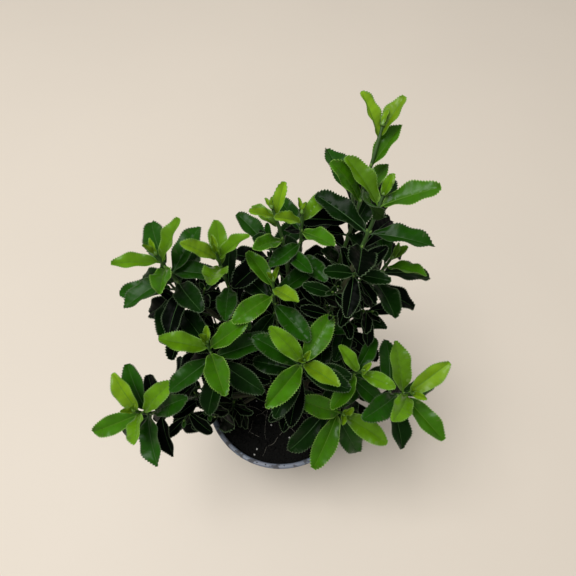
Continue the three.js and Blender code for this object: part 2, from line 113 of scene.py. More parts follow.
@dataclass
class Route:
    """A smooth line, held as evenly spaced points."""

    points: np.ndarray
    length: float = field(init=False)

    def __post_init__(self) -> None:
        """Measures the line."""
        self.length = float(np.linalg.norm(np.diff(self.points, axis=0), axis=1).sum())

    @classmethod
    def bezier(cls, corners: list[np.ndarray], count: int = 61, fine: int = 200) -> "Route":
        """Evenly spaced points on a Bezier curve.

        Args:
            corners: The curve's control points.
            count: How many points the route has.
            fine: Divisions that the curve's length is measured in.

        Returns:
            The route.
        """
        n = len(corners) - 1
        share = np.linspace(0, 1, fine + 1)

        def at(t: np.ndarray) -> np.ndarray:
            """The curve's points at values from 0 to 1."""
            terms = [math.comb(n, i) * (1 - t) ** (n - i) * t**i for i in range(n + 1)]
            return sum(term[:, None] * corner for term, corner in zip(terms, corners))

        run = np.concatenate([[0], np.cumsum(np.linalg.norm(np.diff(at(share), axis=0), axis=1))])
        return cls(at(np.interp(np.linspace(0, run[-1], count), run, share)))

    def point(self, distance: float) -> np.ndarray:
        """The point at a distance along the route.

        Args:
            distance: The distance from its start.

        Returns:
            The point.
        """
        last = len(self.points) - 1
        place = min(max(distance / self.length * last, 0), last)
        i = min(int(place), last - 1)
        return self.points[i] + (self.points[i + 1] - self.points[i]) * (place - i)

    def way(self, distance: float) -> np.ndarray:
        """The direction at a distance along the route.

        Args:
            distance: The distance from its start.

        Returns:
            The direction.
        """
        last = len(self.points) - 1
        i = min(max(int(distance / self.length * last + 0.5), 0), last)
        return unit(self.points[min(i + 1, last)] - self.points[max(i - 1, 0)])

    def stretch(self, start: float, end: float, step: float) -> np.ndarray:
        """Points between two distances along the route, in even steps of about the given length."""
        count = max(2, round((end - start) / step))
        return np.array([self.point(start + (end - start) * i / count) for i in range(count + 1)])

    def distance_to(self, points: np.ndarray) -> float:
        """The least distance from any of some points to the route.

        Args:
            points: The points.

        Returns:
            The distance.
        """
        a, b = self.points[:-1], self.points[1:]
        along = b - a
        share = ((points[:, None] - a) * along).sum(-1) / (along * along).sum(-1)
        foot = a + np.clip(share, 0, 1)[..., None] * along
        return float(np.sqrt(((points[:, None] - foot) ** 2).sum(-1).min()))


@dataclass(frozen=True)
class PotSize:
    """The nursery pot's driving dimensions."""

    height: float = 80
    foot_radius: float = 31
    shoulder_radius: float = 41.4
    lip_radius: float = 45
    band_height: float = 9
    band_step: float = 1.8
    lip_depth: float = 2.6
    lip_width: float = 2.6
    lip_round: float = 0.9
    edge: float = 1
    wall: float = 1.2
    floor: float = 1.8
    hole_count: int = 6
    hole_radius: float = 3.5
    hole_circle: float = 20
    compost_top: float = 76.5
    compost_level_radius: float = 26
    compost_slope_radius: float = 34
    compost_slope_drop: float = 0.3
    compost_edge_drop: float = 1.2
    gap: float = 0.3

    @property
    def shoulder(self) -> float:
        """Height of the step under the band."""
        return self.height - self.band_height

    @property
    def band_radius(self) -> float:
        """Outer radius of the band."""
        return self.shoulder_radius + self.band_step

    def inner_wall(self, z: float) -> float:
        """Radius of the inner wall at a height below the band."""
        outer = self.foot_radius + (self.shoulder_radius - self.foot_radius) * z / self.shoulder
        return outer - self.wall


POT = PotSize()


@dataclass(frozen=True)
class Stem:
    """A stem's foot in the compost and its top. It leaves the compost upright and bends to its top."""

    foot: tuple[float, float]
    top: tuple[float, float, float]
    upright: float = 0.5

    def route(self) -> Route:
        """The line from the compost to the top."""
        start, end = vec(*self.foot, POT.compost_top + POT.gap), vec(*self.top)
        return Route.bezier([start, start + UP * self.upright * (end[2] - start[2]), end])


@dataclass(frozen=True)
class Shoot:
    """A leafy shoot: where it leaves its stem, where its tip is, and how its leaves stand.

    az is the azimuth of its first full pair, leaf the full leaf length, open and gap the opening and spacing
    as shares of the usual, lean the tip's angle from upright, towards the azimuth toward where that isn't
    straight out, turn the turn from pair to pair, and age how much older than usual its leaves look, in
    pairs. rise is how far it turns upwards as it leaves the stem, and arm the length of the curve's arms.
    """

    name: str
    stem: str
    at: float
    tip: tuple[float, float, float]
    az: float
    pairs: int
    leaf: float
    open: float = 1
    gap: float = 1
    lean: float = 10
    toward: float | None = None
    turn: float = 90
    age: float = 0
    rise: float = 0.3
    arm: float = 0.35

    def route(self, stem: Route) -> Route:
        """The line from the stem to the growing tip.

        Args:
            stem: The stem's route.

        Returns:
            The shoot's route.
        """
        start, tip = stem.point(self.at * stem.length), vec(*self.tip)
        out = tip - start
        span = float(np.linalg.norm(out))
        leave = unit(out + UP * self.rise * span)
        sideways = unit(out * vec(1, 1, 0)) if self.toward is None else flat_turn(self.toward)
        lean = math.radians(self.lean)
        arrive = UP * math.cos(lean) + sideways * math.sin(lean)
        return Route.bezier([start, start + leave * self.arm * span, tip - arrive * self.arm * span, tip])


STEMS = {
    "left_front": Stem((-9, -2), (-16, -6, 92)),
    "left": Stem((-9, 5), (-15, 5, 98)),
    "back_left": Stem((-4, 12), (-9, 15, 102)),
    "back": Stem((3, 14), (3, 19, 106)),
    "back_right": Stem((11, 10), (15, 13, 108)),
    "right": Stem((14, 3), (19, 3, 98)),
    "front_right": Stem((9, -5), (12, -9, 95)),
}

SHOOTS = [
    Shoot("spire", "back_right", 1, (39, 54, 235), 5, 6, 20, 0.32, 2, 46, 72, 12, age=-0.7),
    Shoot("spire_side", "back_right", 0.72, (40, 34, 220), 158, 5, 26, 0.82, 0.9, 42, 65, age=1.1),
    Shoot("back_right", "back_right", 0.88, (31, 48, 208), 115, 7, 31, 1, 0.9, 25, 110, 140, age=2.4),
    Shoot("right_upper", "back_right", 0.5, (49, 27, 187), 108, 5, 27, 0.9, 0.7, 36, 40, 80, age=0.9),
    Shoot("back_tip", "back", 0.92, (-2, 36, 210), 54, 6, 17, 0.75, 0.9, 30, 130, age=-0.6),
    Shoot("back_fork", "back", 1, (10, 35, 208), 38, 7, 19, 0.9, 0.9, 15, 90, age=-0.1),
    Shoot("back_inner", "back", 0.76, (-5, 43, 178), 145, 6, 27, 1, 0.9, 20, 120, age=2.4),
    Shoot("middle_back", "back", 0.6, (-2, 17, 185), 129, 7, 23, 1.05, 0.9, 15, 90, age=0.1),
    Shoot("back_left_tip", "back_left", 0.86, (-51, 25, 193), 8, 6, 25, 0.9, 0.65, 24, 140, 106, age=0),
    Shoot("back_left", "back_left", 1, (-26, 27, 192), 5, 7, 23, 0.75, 0.9, 14, 110, age=-0.1),
    Shoot("middle_left", "back_left", 0.66, (-23, 14, 156), 137, 6, 23, 1, 0.9, 12, age=1.6),
    Shoot("left_upper", "left", 1, (-53, 29, 162), 180, 6, 31, 1.1, 0.7, 25, 150, age=1.9),
    Shoot("left_inner", "left", 0.8, (-31, -4, 168), 8, 7, 27, 1, 0.65, 18, 100, 104, age=0.6),
    Shoot("left_low", "left", 0.6, (-49, 17, 125), 5, 5, 24, 1, 0.9, 30, age=3),
    Shoot("left_front", "left_front", 1, (-66, -28, 144), 124, 7, 25, 0.9, 0.5, 8, 205, 86, age=-0.4),
    Shoot("left_front_low", "left_front", 0.8, (-49, -12, 113), 90, 5, 26, 1.1, 0.8, 40, age=3.6),
    Shoot("front_left_low", "left_front", 0.55, (-36, -20, 99), 190, 2, 32, 1.15, 0.8, 30, 200, 0, age=3.8),
    Shoot("middle_front", "front_right", 1, (11, -14, 172), 140, 7, 25, 0.9, 0.6, 10, 300, 96, age=0.1),
    Shoot("right_front_tip", "front_right", 0.84, (61, -21, 148), 44, 6, 27, 0.95, 0.65, 14, 300, 78,
          age=-0.4),
    Shoot("front_right", "front_right", 0.66, (31, -27, 132), 154, 5, 29, 1.15, 0.7, 24, 280, age=0.2),
    Shoot("front_low", "front_right", 0.45, (6, -15, 112), 225, 3, 19, 1.1, 0.8, 15, turn=20, age=3.2),
    Shoot("front_right_low", "front_right", 0.5, (42, -14, 116), 45, 5, 25, 1.1, 0.8, 15, age=2.6),
    Shoot("right_inner", "right", 1, (31, 18, 168), 110, 6, 21, 1, 0.9, 10, age=1.8),
    Shoot("right_middle", "right", 0.84, (36, 17, 156), 155, 6, 24, 1.15, 0.9, 15, age=2),
    Shoot("middle_right", "right", 0.7, (23, 7, 158), 178, 5, 19, 1.1, 0.9, 8, age=0.8),
    Shoot("right_front", "right", 0.56, (38, -13, 156), 146, 6, 22, 1.05, 0.9, 15, age=0),
    Shoot("middle_low", "back_left", 0.5, (-7, 18, 138), 90, 4, 12, 0.9, 1, 5, age=-0.8),
]


@dataclass(frozen=True)
class Habit:
    """How the plant sets its leaves. The lists run back from a shoot's tip, one entry for each pair."""

    spacing: tuple[float, ...] = (1.2, 3.6, 5.5, 7, 8, 8.5, 9, 9)
    spread: tuple[float, ...] = (20, 54, 70, 78, 84, 88, 92, 96)
    size: tuple[float, ...] = (0.36, 0.84, 1, 1, 1, 0.96, 0.92, 0.9)
    bend: tuple[float, ...] = (8, 16, 22, 26, 30, 32, 34, 36)
    bare_below: float = 4
    shortest_bough: float = 24
    swing_chance: float = 16
    spread_chance: float = 10
    size_chance: float = 0.16
    seed: int = 7919
    light_pull: float = 0.6
    stem_radius: float = 2.3
    bough_radius: float = 1.0

    def back_of(self, shoot: Shoot, pair: int) -> float:
        """Distance of a pair back from its shoot's tip: only the two youngest are always as close."""
        return sum(self.spacing[: min(pair, 1) + 1]) + shoot.gap * sum(self.spacing[2 : pair + 1])

    def bare_length(self, shoot: Shoot, length: float) -> float:
        """Length of the bough below a shoot's leaves, or 0 where the leaves begin at the stem."""
        bare = length - self.back_of(shoot, shoot.pairs - 1) - self.bare_below
        return bare if bare >= self.shortest_bough else 0


@dataclass(frozen=True)
class Blade:
    """The outline of a leaf's blade, in shares of the leaf's length."""

    half_width: float = 0.215
    stalk: float = 0.12
    widest: float = 1.1
    bluntness: float = 0.75
    fold: float = 18

    def shape(self, s: np.ndarray) -> np.ndarray:
        """Half width at a share of the way along the blade, as a share of the widest."""
        return np.sin(np.pi * np.clip(s, 0, 1) ** self.widest) ** self.bluntness


@dataclass(frozen=True)
class SprigHabit:
    """The small side sprigs on the bare boughs. None has its tip over the open front of the compost."""

    spacing: float = 7
    turn: float = 90
    swing: float = 50
    upward: float = 0.7
    reach: float = 0.8
    rise: float = 0.3
    arm: float = 0.5
    length: float = 13
    length_chance: float = 0.5
    clear: float = 1.2
    pairs: int = 3
    leaf: float = 17
    gap: float = 0.5
    radius: float = 0.5
    age: float = 2.6
    youngest: float = 1.3
    fewest_leaves: int = 2
    open_front: float = 0
    open_below: float = 150
    open_left: float = -24
    seed: int = 100
    own_seed: int = 200

    def in_the_open(self, tip: np.ndarray) -> bool:
        """Whether a tip would stand over the open front of the compost."""
        return bool(tip[0] > self.open_left and tip[1] < self.open_front and tip[2] < self.open_below)


@dataclass(frozen=True)
class Net:
    """The net of points on a blade that finds what is near it."""

    rows: int = 13
    columns: int = 7
    end: float = 0.98
    base_rows: int = 5

    @property
    def middle(self) -> int:
        """Number of the point in the middle of the blade."""
        return self.rows // 2 * self.columns + self.columns // 2

    @property
    def blade(self) -> int:
        """Number of the first point past the leaf's base, where leaves of one shoot may touch."""
        return self.base_rows * self.columns


@dataclass(frozen=True)
class Room:
    """The room kept between leaves, limbs and the pot."""

    leaf: float = 1.4
    kin: float = 0.9
    limb: float = 1.4
    bark: float = 0.4
    lip: float = 1.4


HABIT = Habit()
BLADE = Blade()
SPRIG = SprigHabit()
NET = Net()
ROOM = Room()
LIGHT = vec(0, -0.3, 1)
TRIES = [(0, 0), (12, 0), (-12, 0), (0, -10), (0, 10), (24, -6), (-24, -6), (14, 14), (-14, 14)]


@dataclass
class Leaf:
    """A leaf on its twig: its foot, the directions of its length, upper face and side, its size and bend."""

    foot: np.ndarray
    way: np.ndarray
    face: np.ndarray
    side: np.ndarray
    size: float
    bend: float
    pair: int
    shoot: str
    age: float = 0

    @classmethod
    def grown(cls, foot: np.ndarray, twig: np.ndarray, azimuth: float, spread: float,
              **facts: float | str) -> "Leaf":
        """A leaf that leaves its twig at an azimuth and an angle, with its face turned to the light.

        Args:
            foot: Where it leaves the twig.
            twig: Direction of the twig there.
            azimuth: Azimuth of the leaf in degrees.
            spread: Its angle from the twig in degrees.
            facts: Its size, bend, pair, shoot and age.

        Returns:
            The leaf.
        """
        radial = square_to(twig, flat_turn(azimuth))
        cos, sin = math.cos(math.radians(spread)), math.sin(math.radians(spread))
        out = twig * cos + radial * sin
        inner = twig * sin - radial * cos
        face = unit(inner + (square_to(out, LIGHT) - inner) * HABIT.light_pull)
        return cls(foot, out, face, np.cross(face, out), **facts)

    def spine(self, t: np.ndarray) -> tuple[np.ndarray, np.ndarray]:
        """Middle of the blade and its upward side at shares of the leaf's length.

        Args:
            t: The shares.

        Returns:
            The points and the directions.
        """
        bend = math.radians(self.bend)
        along = (self.size * np.sin(bend * t) / bend)[:, None]
        down = (self.size * (1 - np.cos(bend * t)) / bend)[:, None]
        middle = self.foot + self.way * along - self.face * down
        return middle, self.face * np.cos(bend * t)[:, None] + self.way * np.sin(bend * t)[:, None]

    def net(self) -> np.ndarray:
        """Points spread over the blade, for its neighbours to keep clear of.

        Returns:
            The points, row by row from the stalk to the tip.
        """
        t = np.minimum(np.arange(1, NET.rows + 1) / NET.rows, NET.end)
        v = np.linspace(-1, 1, NET.columns)
        middle, face = self.spine(t)
        reach = self.size * BLADE.half_width * BLADE.shape((t - BLADE.stalk) / (1 - BLADE.stalk))[:, None] * v
        fold = math.radians(BLADE.fold)
        across = self.side * (reach * math.cos(fold))[..., None]
        up = face[:, None] * (abs(reach) * math.sin(fold))[..., None]
        return (middle[:, None] + across + up).reshape(-1, 3)


@dataclass
class Placed:
    """A leaf that has found room, with the points that its neighbours keep clear of."""

    leaf: Leaf
    points: np.ndarray
    blade: np.ndarray


@dataclass
class Limb:
    """A limb's route, the radius round it that leaves keep clear of, and the shoots that it belongs to."""

    route: Route
    radius: float
    owners: set[str]


@dataclass
class Twig:
    """A shoot or sprig as it has grown: its route, its bare length and its leaves."""

    shoot: Shoot
    route: Route
    bare: float
    leaves: list[Leaf] = field(default_factory=list)


class Growth:
    """Grows the whole plant: stems, shoots, their leaves, and then the finer sprigs."""

    def __init__(self) -> None:
        """Sets out the limbs and grows every leaf."""
        self.limbs: list[Limb] = []
        self.placed: list[Placed] = []
        self.spheres = np.empty((0, 4))
        self.stems = {name: stem.route() for name, stem in STEMS.items()}
        for name, route in self.stems.items():
            self.limbs.append(Limb(route, HABIT.stem_radius, {s.name for s in SHOOTS if s.stem == name}))
        self.twigs = [self.lay_out(shoot) for shoot in SHOOTS]
        self.sprigs: list[Twig] = []
        self.grow_leaves()

    def lay_out(self, shoot: Shoot) -> Twig:
        """Sets out one shoot's route.

        Args:
            shoot: The shoot.

        Returns:
            Its twig, without leaves.
        """
        route = shoot.route(self.stems[shoot.stem])
        self.limbs.append(Limb(route, HABIT.bough_radius, {shoot.name}))
        return Twig(shoot, route, HABIT.bare_length(shoot, route.length))

    def grow_leaves(self) -> None:
        """Grows all main leaves, the youngest pairs of every shoot first."""
        streams = [Draws(HABIT.seed * (i + 1)) for i in range(len(self.twigs))]
        for pair in range(max(s.pairs for s in SHOOTS)):
            for twig, stream in zip(self.twigs, streams):
                reach = twig.route.length - twig.bare - POT.gap
                if pair < twig.shoot.pairs and HABIT.back_of(twig.shoot, pair) < reach:
                    self.grow_pair(twig, pair, stream)

    def grow_pair(self, twig: Twig, pair: int, stream: Draws) -> None:
        """Grows the two leaves of one pair, where they have room.

        Args:
            twig: The twig that carries them.
            pair: The pair's number, back from the tip.
            stream: Where its draws come from.
        """
        shoot = twig.shoot
        distance = twig.route.length - HABIT.back_of(shoot, pair)
        foot, way = twig.route.point(distance), twig.route.way(distance)
        for opposite in (0, 180):
            azimuth = shoot.az + shoot.turn * (pair - 1) + opposite + stream.spread(HABIT.swing_chance)
            size = shoot.leaf * HABIT.size[pair] * (1 + stream.spread(HABIT.size_chance))
            spread = HABIT.spread[pair] * shoot.open + stream.spread(HABIT.spread_chance)
            for turn, open_more in TRIES:
                leaf = Leaf.grown(foot, way, azimuth + turn, spread + open_more, size=size,
                                  bend=HABIT.bend[pair], pair=pair, shoot=shoot.name, age=pair + shoot.age)
                if self.has_room(leaf):
                    twig.leaves.append(leaf)
                    break

    def clear_of_pot(self, points: np.ndarray) -> bool:
        """Whether all points are clear of the pot and the compost.

        Args:
            points: The points.

        Returns:
            True where they are.
        """
        radius = np.hypot(points[:, 0], points[:, 1])
        beside = radius > POT.lip_radius + ROOM.lip
        above = points[:, 2] > POT.height + ROOM.lip
        inside = (radius < POT.compost_level_radius) & (points[:, 2] > POT.compost_top + ROOM.lip)
        return bool((beside | above | inside).all())

    def has_room(self, leaf: Leaf) -> bool:
        """Whether a leaf has room, which it then keeps.

        Args:
            leaf: The leaf.

        Returns:
            True where it has.
        """
        points = leaf.net()
        middle, blade = points[NET.middle], points[NET.blade:]
        if not self.clear_of_pot(points):
            return False
        reach = float(np.linalg.norm(points - middle, axis=1).max()) + ROOM.leaf
        apart = np.linalg.norm(self.spheres[:, :3] - middle, axis=1) - self.spheres[:, 3]
        for other in (self.placed[i] for i in np.nonzero(apart < reach)[0]):
            kin = other.leaf.shoot == leaf.shoot
            mine, theirs = (blade, other.blade) if kin else (points, other.points)
            room = ROOM.kin if kin else ROOM.leaf
            if ((mine[:, None] - theirs) ** 2).sum(-1).min() < room * room:
                return False
        for limb in self.limbs:
            room = max(ROOM.limb, limb.radius + ROOM.bark)
            if np.linalg.norm(limb.route.points - middle, axis=1).min() > reach + room:
                continue
            if limb.route.distance_to(blade if leaf.shoot in limb.owners else points) < room:
                return False
        self.placed.append(Placed(leaf, points, blade))
        self.spheres = np.vstack([self.spheres, [*middle, reach]])
        return True

    def grow_sprigs(self) -> None:
        """Grows small sprigs from the bare boughs, within the reach of the shoots that are there."""
        stream = Draws(HABIT.seed * SPRIG.seed)
        for twig in self.twigs:
            limb = next(limb for limb in self.limbs if limb.route is twig.route)
            for node in range(1, int(twig.bare / SPRIG.spacing)):
                for opposite in (0, 180):
                    azimuth = twig.shoot.az + SPRIG.turn * node + opposite + stream.spread(SPRIG.swing)
                    length = SPRIG.length * (1 + stream.spread(SPRIG.length_chance))
                    name = f"{twig.shoot.name}_{node}_{opposite}"
                    self.grow_sprig(twig, limb, node * SPRIG.spacing, azimuth, length, name)

    def grow_sprig(self, twig: Twig, limb: Limb, at: float, azimuth: float, length: float,
                   name: str) -> None:
        """Grows one sprig with its pairs of small leaves, or nothing where too few have room.

        Args:
            twig: The shoot whose bough carries it.
            limb: That bough as a limb.
            at: Distance along the bough.
            azimuth: Azimuth that the sprig leaves at.
            length: Its length.
            name: The name that its leaves are known by.
        """
        foot, way = twig.route.point(at), twig.route.way(at)
        out = unit(way * SPRIG.upward + square_to(way, flat_turn(azimuth)))
        tip = foot + out * length * SPRIG.reach + UP * length * SPRIG.rise
        route = Route.bezier([foot, foot + out * length * SPRIG.arm, tip])
        if SPRIG.in_the_open(tip):
            return
        if any(np.abs(p.points - tip).max(1).min() < SPRIG.clear for p in self.placed):
            return
        shoot = Shoot(name, twig.shoot.stem, at, tuple(tip), azimuth + 90, SPRIG.pairs, SPRIG.leaf, 1,
                      SPRIG.gap, age=max(twig.shoot.age, SPRIG.youngest) + SPRIG.age)
        sprig = Twig(shoot, route, 0)
        limb.owners.add(name)
        self.limbs.append(Limb(route, SPRIG.radius, {name}))
        stream = Draws(HABIT.seed * (len(self.limbs) + SPRIG.own_seed))
        for pair in range(shoot.pairs):
            if HABIT.back_of(shoot, pair) < route.length - 1:
                self.grow_pair(sprig, pair, stream)
        if len(sprig.leaves) >= SPRIG.fewest_leaves:
            self.sprigs.append(sprig)
        else:
            self.limbs.pop()
            kept = [i for i, placed in enumerate(self.placed) if placed.leaf.shoot != name]
            self.placed, self.spheres = [self.placed[i] for i in kept], self.spheres[kept]


@dataclass(frozen=True)
class LeafFinish:
    """One tone of leaf: the age in pairs, with any painted shade added, that it is dealt out up to, and its
    colours.
    """

    upto: float
    upper: Colour
    under: Colour
    margin: str
    roughness: float
    specular: float


class Tone(Enum):
    """The tones of leaves, from the growing tip to the oldest. The darkest tones, near black, are partly
    painted shade for the leaves deep inside the crown.
    """

    TIP = LeafFinish(0.9, (0.15, 0.28, 0.005), (0.14, 0.26, 0.03), "fresh", 0.34, 0.2)
    FRESH = LeafFinish(1.8, (0.09, 0.215, 0.002), (0.1, 0.19, 0.02), "fresh", 0.32, 0.2)
    BRIGHT = LeafFinish(2.9, (0.038, 0.135, 0.0015), (0.055, 0.12, 0.012), "fresh", 0.3, 0.14)
    MID = LeafFinish(4.2, (0.01, 0.058, 0.001), (0.026, 0.065, 0.01), "aged", 0.3, 0.1)
    DARK = LeafFinish(5.8, (0.003, 0.017, 0.001), (0.01, 0.026, 0.006), "aged", 0.32, 0.06)
    # The darkest tone is near black: partly the oldest leaves' own dark colour, partly painted shade deep
    # inside the crown.
    OLD = LeafFinish(99, (0.0006, 0.0019, 0.0006), (0.0015, 0.004, 0.0015), "aged", 0.4, 0.025)

    @classmethod
    def of_age(cls, age: float) -> "Tone":
        """The tone of a leaf of some age, with its painted shade added to the age."""
        return next(tone for tone in cls if age <= tone.value.upto)


class NodeSketch:
    """Adds nodes to a node tree and joins them."""

    def __init__(self, tree: bpy.types.NodeTree) -> None:
        """Takes the tree to draw in."""
        self.tree = tree
        self.given: bpy.types.bpy_prop_collection | None = None

    @classmethod
    def group(cls, name: str, kind: str, inputs: dict[str, str], outputs: dict[str, str]) -> "NodeSketch":
        """A new node group with named inputs and outputs.

        Args:
            name: The group's name.
            kind: Shader or Geometry.
            inputs: The kind of each input by its name.
            outputs: The kind of each output by its name.

        Returns:
            A sketch of the group, whose inputs are in its given.
        """
        tree = bpy.data.node_groups.new(name, f"{kind}NodeTree")
        for way, sockets in (("INPUT", inputs), ("OUTPUT", outputs)):
            for label, socket in sockets.items():
                tree.interface.new_socket(label, in_out=way, socket_type=f"NodeSocket{socket}")
        sketch = cls(tree)
        sketch.given = sketch.add("NodeGroupInput").outputs
        return sketch

    def add(self, kind: str, inputs: dict | None = None,
            **settings: str | bpy.types.NodeTree) -> bpy.types.Node:
        """Adds one node.

        Args:
            kind: The node's type.
            inputs: Values or sockets for its inputs, by name or number.
            settings: Its other settings.

        Returns:
            The node.
        """
        node = self.tree.nodes.new(kind)
        for name, value in settings.items():
            setattr(node, name, value)
        for key, value in (inputs or {}).items():
            if isinstance(value, Socket):
                self.tree.links.new(value, node.inputs[key])
            else:
                node.inputs[key].default_value = value
        return node

    def math(self, operation: str, a: Socket | float, b: Socket | float = 0.0) -> Socket:
        """A sum, product or other function of one or two numbers."""
        return self.add("ShaderNodeMath", {0: a, 1: b}, operation=operation).outputs[0]

    def vector(self, operation: str, a: Socket, b: Socket | Colour) -> Socket:
        """A sum, product or other function of two vectors."""
        return self.add("ShaderNodeVectorMath", {0: a, 1: b}, operation=operation).outputs[0]

    def scaled(self, a: Socket, scale: Socket | float) -> Socket:
        """A vector times a number."""
        return self.add("ShaderNodeVectorMath", {0: a, "Scale": scale}, operation="SCALE").outputs[0]

    def joined(self, x: Socket | float, y: Socket | float, z: Socket | float) -> Socket:
        """A vector of three numbers."""
        return self.add("ShaderNodeCombineXYZ", {0: x, 1: y, 2: z}).outputs[0]

    def parted(self, vector: Socket) -> list[Socket]:
        """The three numbers of a vector."""
        return list(self.add("ShaderNodeSeparateXYZ", {0: vector}).outputs)

    def ramp(self, value: Socket, low: float | Socket, high: float | Socket, start: float = 0.0,
             end: float = 1.0) -> Socket:
        """A value's place between two others, as a number from start to end."""
        return self.add("ShaderNodeMapRange", {0: value, 1: low, 2: high, 3: start, 4: end}).outputs[0]

    def noise(self, place: Socket, scale: Socket | float, detail: float) -> bpy.types.bpy_prop_collection:
        """Soft noise over some coordinates: its outputs are a number and a colour."""
        return self.add("ShaderNodeTexNoise", {"Vector": place, "Scale": scale, "Detail": detail}).outputs

    def mix(self, share: Socket, a: Socket, b: Socket | Colour) -> Socket:
        """A colour between two others."""
        other = b if isinstance(b, Socket) else (*b, 1)
        return self.add("ShaderNodeMix", {"Factor": share, 6: a, 7: other}, data_type="RGBA").outputs[2]

    def named(self, name: str, kind: str = "FLOAT") -> Socket:
        """A named attribute in a Geometry Nodes tree."""
        return self.add("GeometryNodeInputNamedAttribute", {"Name": name}, data_type=kind).outputs[0]

    def stored(self, geometry: Socket, name: str, value: Socket, kind: str = "FLOAT") -> Socket:
        """The geometry with a value kept at each point under a name."""
        inputs = {"Geometry": geometry, "Name": name, "Value": value}
        return self.add("GeometryNodeStoreNamedAttribute", inputs, data_type=kind, domain="POINT").outputs[0]

    def moved(self, geometry: Socket, by: Socket | None = None, to: Socket | None = None) -> Socket:
        """The geometry with its points moved by an offset or to a place."""
        inputs = {"Geometry": geometry, **({"Offset": by} if to is None else {"Position": to})}
        return self.add("GeometryNodeSetPosition", inputs).outputs[0]

    def done(self, outputs: dict[str, Socket]) -> bpy.types.NodeTree:
        """Joins the group's outputs and gives its tree."""
        self.add("NodeGroupOutput", outputs)
        return self.tree

    def with_material(self, geometry: Socket, output: str) -> bpy.types.NodeTree:
        """Ends a Geometry Nodes tree: the real mesh, shaded smooth, with the given material.

        Args:
            geometry: The geometry so far.
            output: Name of the group's output.

        Returns:
            The tree.
        """
        real = self.add("GeometryNodeRealizeInstances", {"Geometry": geometry}).outputs[0]
        shaded = self.add("GeometryNodeSetShadeSmooth", {"Geometry": real}).outputs[0]
        inputs = {"Geometry": shaded, "Material": self.given["Material"]}
        return self.done({output: self.add("GeometryNodeSetMaterial", inputs).outputs[0]})


class Shared:
    """Shader node groups that more than one material may use."""

    @staticmethod
    def variation() -> bpy.types.NodeTree:
        """Soft patches of a second colour, uneven roughness and a fine relief, over any coordinates.

        Returns:
            The group.
        """
        sketch = NodeSketch.group("uneven_surface", "Shader", {
            "Place": "Vector", "Colour": "Color", "Patch Colour": "Color", "Patch Size": "Float",
            "Patch Amount": "Float", "Roughness": "Float", "Roughness Spread": "Float", "Grain Size": "Float",
        }, {"Colour": "Color", "Roughness": "Float", "Height": "Float"})
        given = sketch.given
        patches = sketch.noise(given["Place"], sketch.math("DIVIDE", 1.0, given["Patch Size"]), 4.0)[0]
        grain = sketch.noise(given["Place"], sketch.math("DIVIDE", 1.0, given["Grain Size"]), 3.0)[0]
        share = sketch.math("MULTIPLY", sketch.ramp(patches, 0.38, 0.62), given["Patch Amount"])
        uneven = sketch.math("MULTIPLY", sketch.math("SUBTRACT", patches, 0.5), given["Roughness Spread"])
        return sketch.done({"Colour": sketch.mix(share, given["Colour"], given["Patch Colour"]),
                            "Roughness": sketch.math("ADD", given["Roughness"], uneven), "Height": grain})

    @staticmethod
    def soil_marks() -> bpy.types.NodeTree:
        """Soil and scuffs that gather above a height: a mask from 0 to 1.

        Returns:
            The group.
        """
        sketch = NodeSketch.group("soil_marks", "Shader", {
            "Place": "Vector", "From Height": "Float", "To Height": "Float", "Size": "Float",
            "Amount": "Float"}, {"Mask": "Float"})
        given = sketch.given
        height = sketch.parted(given["Place"])[2]
        rise = sketch.ramp(height, given["From Height"], given["To Height"])
        spots = sketch.noise(given["Place"], sketch.math("DIVIDE", 1.0, given["Size"]), 6.0)[0]
        found = sketch.math("MULTIPLY", rise, sketch.ramp(spots, 0.52, 0.6))
        return sketch.done({"Mask": sketch.math("MULTIPLY", found, given["Amount"])})

    @staticmethod
    def leaf_marks() -> bpy.types.NodeTree:
        """Masks over a blade from how far across and along it each point is, and the leaf's lightness.

        Returns:
            The group.
        """
        sketch = NodeSketch.group(
            "leaf_marks", "Shader", {"On Leaf": "Vector", "Vein Count": "Float", "Vein Lean": "Float"},
            {name: "Float" for name in ("Base", "Midrib", "Veins", "Margin", "Lightness")})
        given = sketch.given
        across, along, chance = sketch.parted(given["On Leaf"])
        out = sketch.math("ABSOLUTE", across)
        step = sketch.math("SUBTRACT", sketch.math("MULTIPLY", along, given["Vein Count"]),
                           sketch.math("MULTIPLY", out, given["Vein Lean"]))
        ridge = sketch.math("SINE", sketch.math("MULTIPLY", step, TAU))
        crest = sketch.ramp(ridge, 0.6, 1.0)
        # Base is the mask of the painted shade towards each leaf's base.
        return sketch.done({
            "Base": sketch.ramp(along, 0.55, 0.0), "Midrib": sketch.ramp(out, 0.16, 0.02),
            "Veins": sketch.math("MULTIPLY", crest, sketch.ramp(out, 0.9, 0.5)),
            "Margin": sketch.ramp(out, 0.7, 1.0), "Lightness": sketch.ramp(chance, -1.0, 1.0, 0.8, 1.15)})


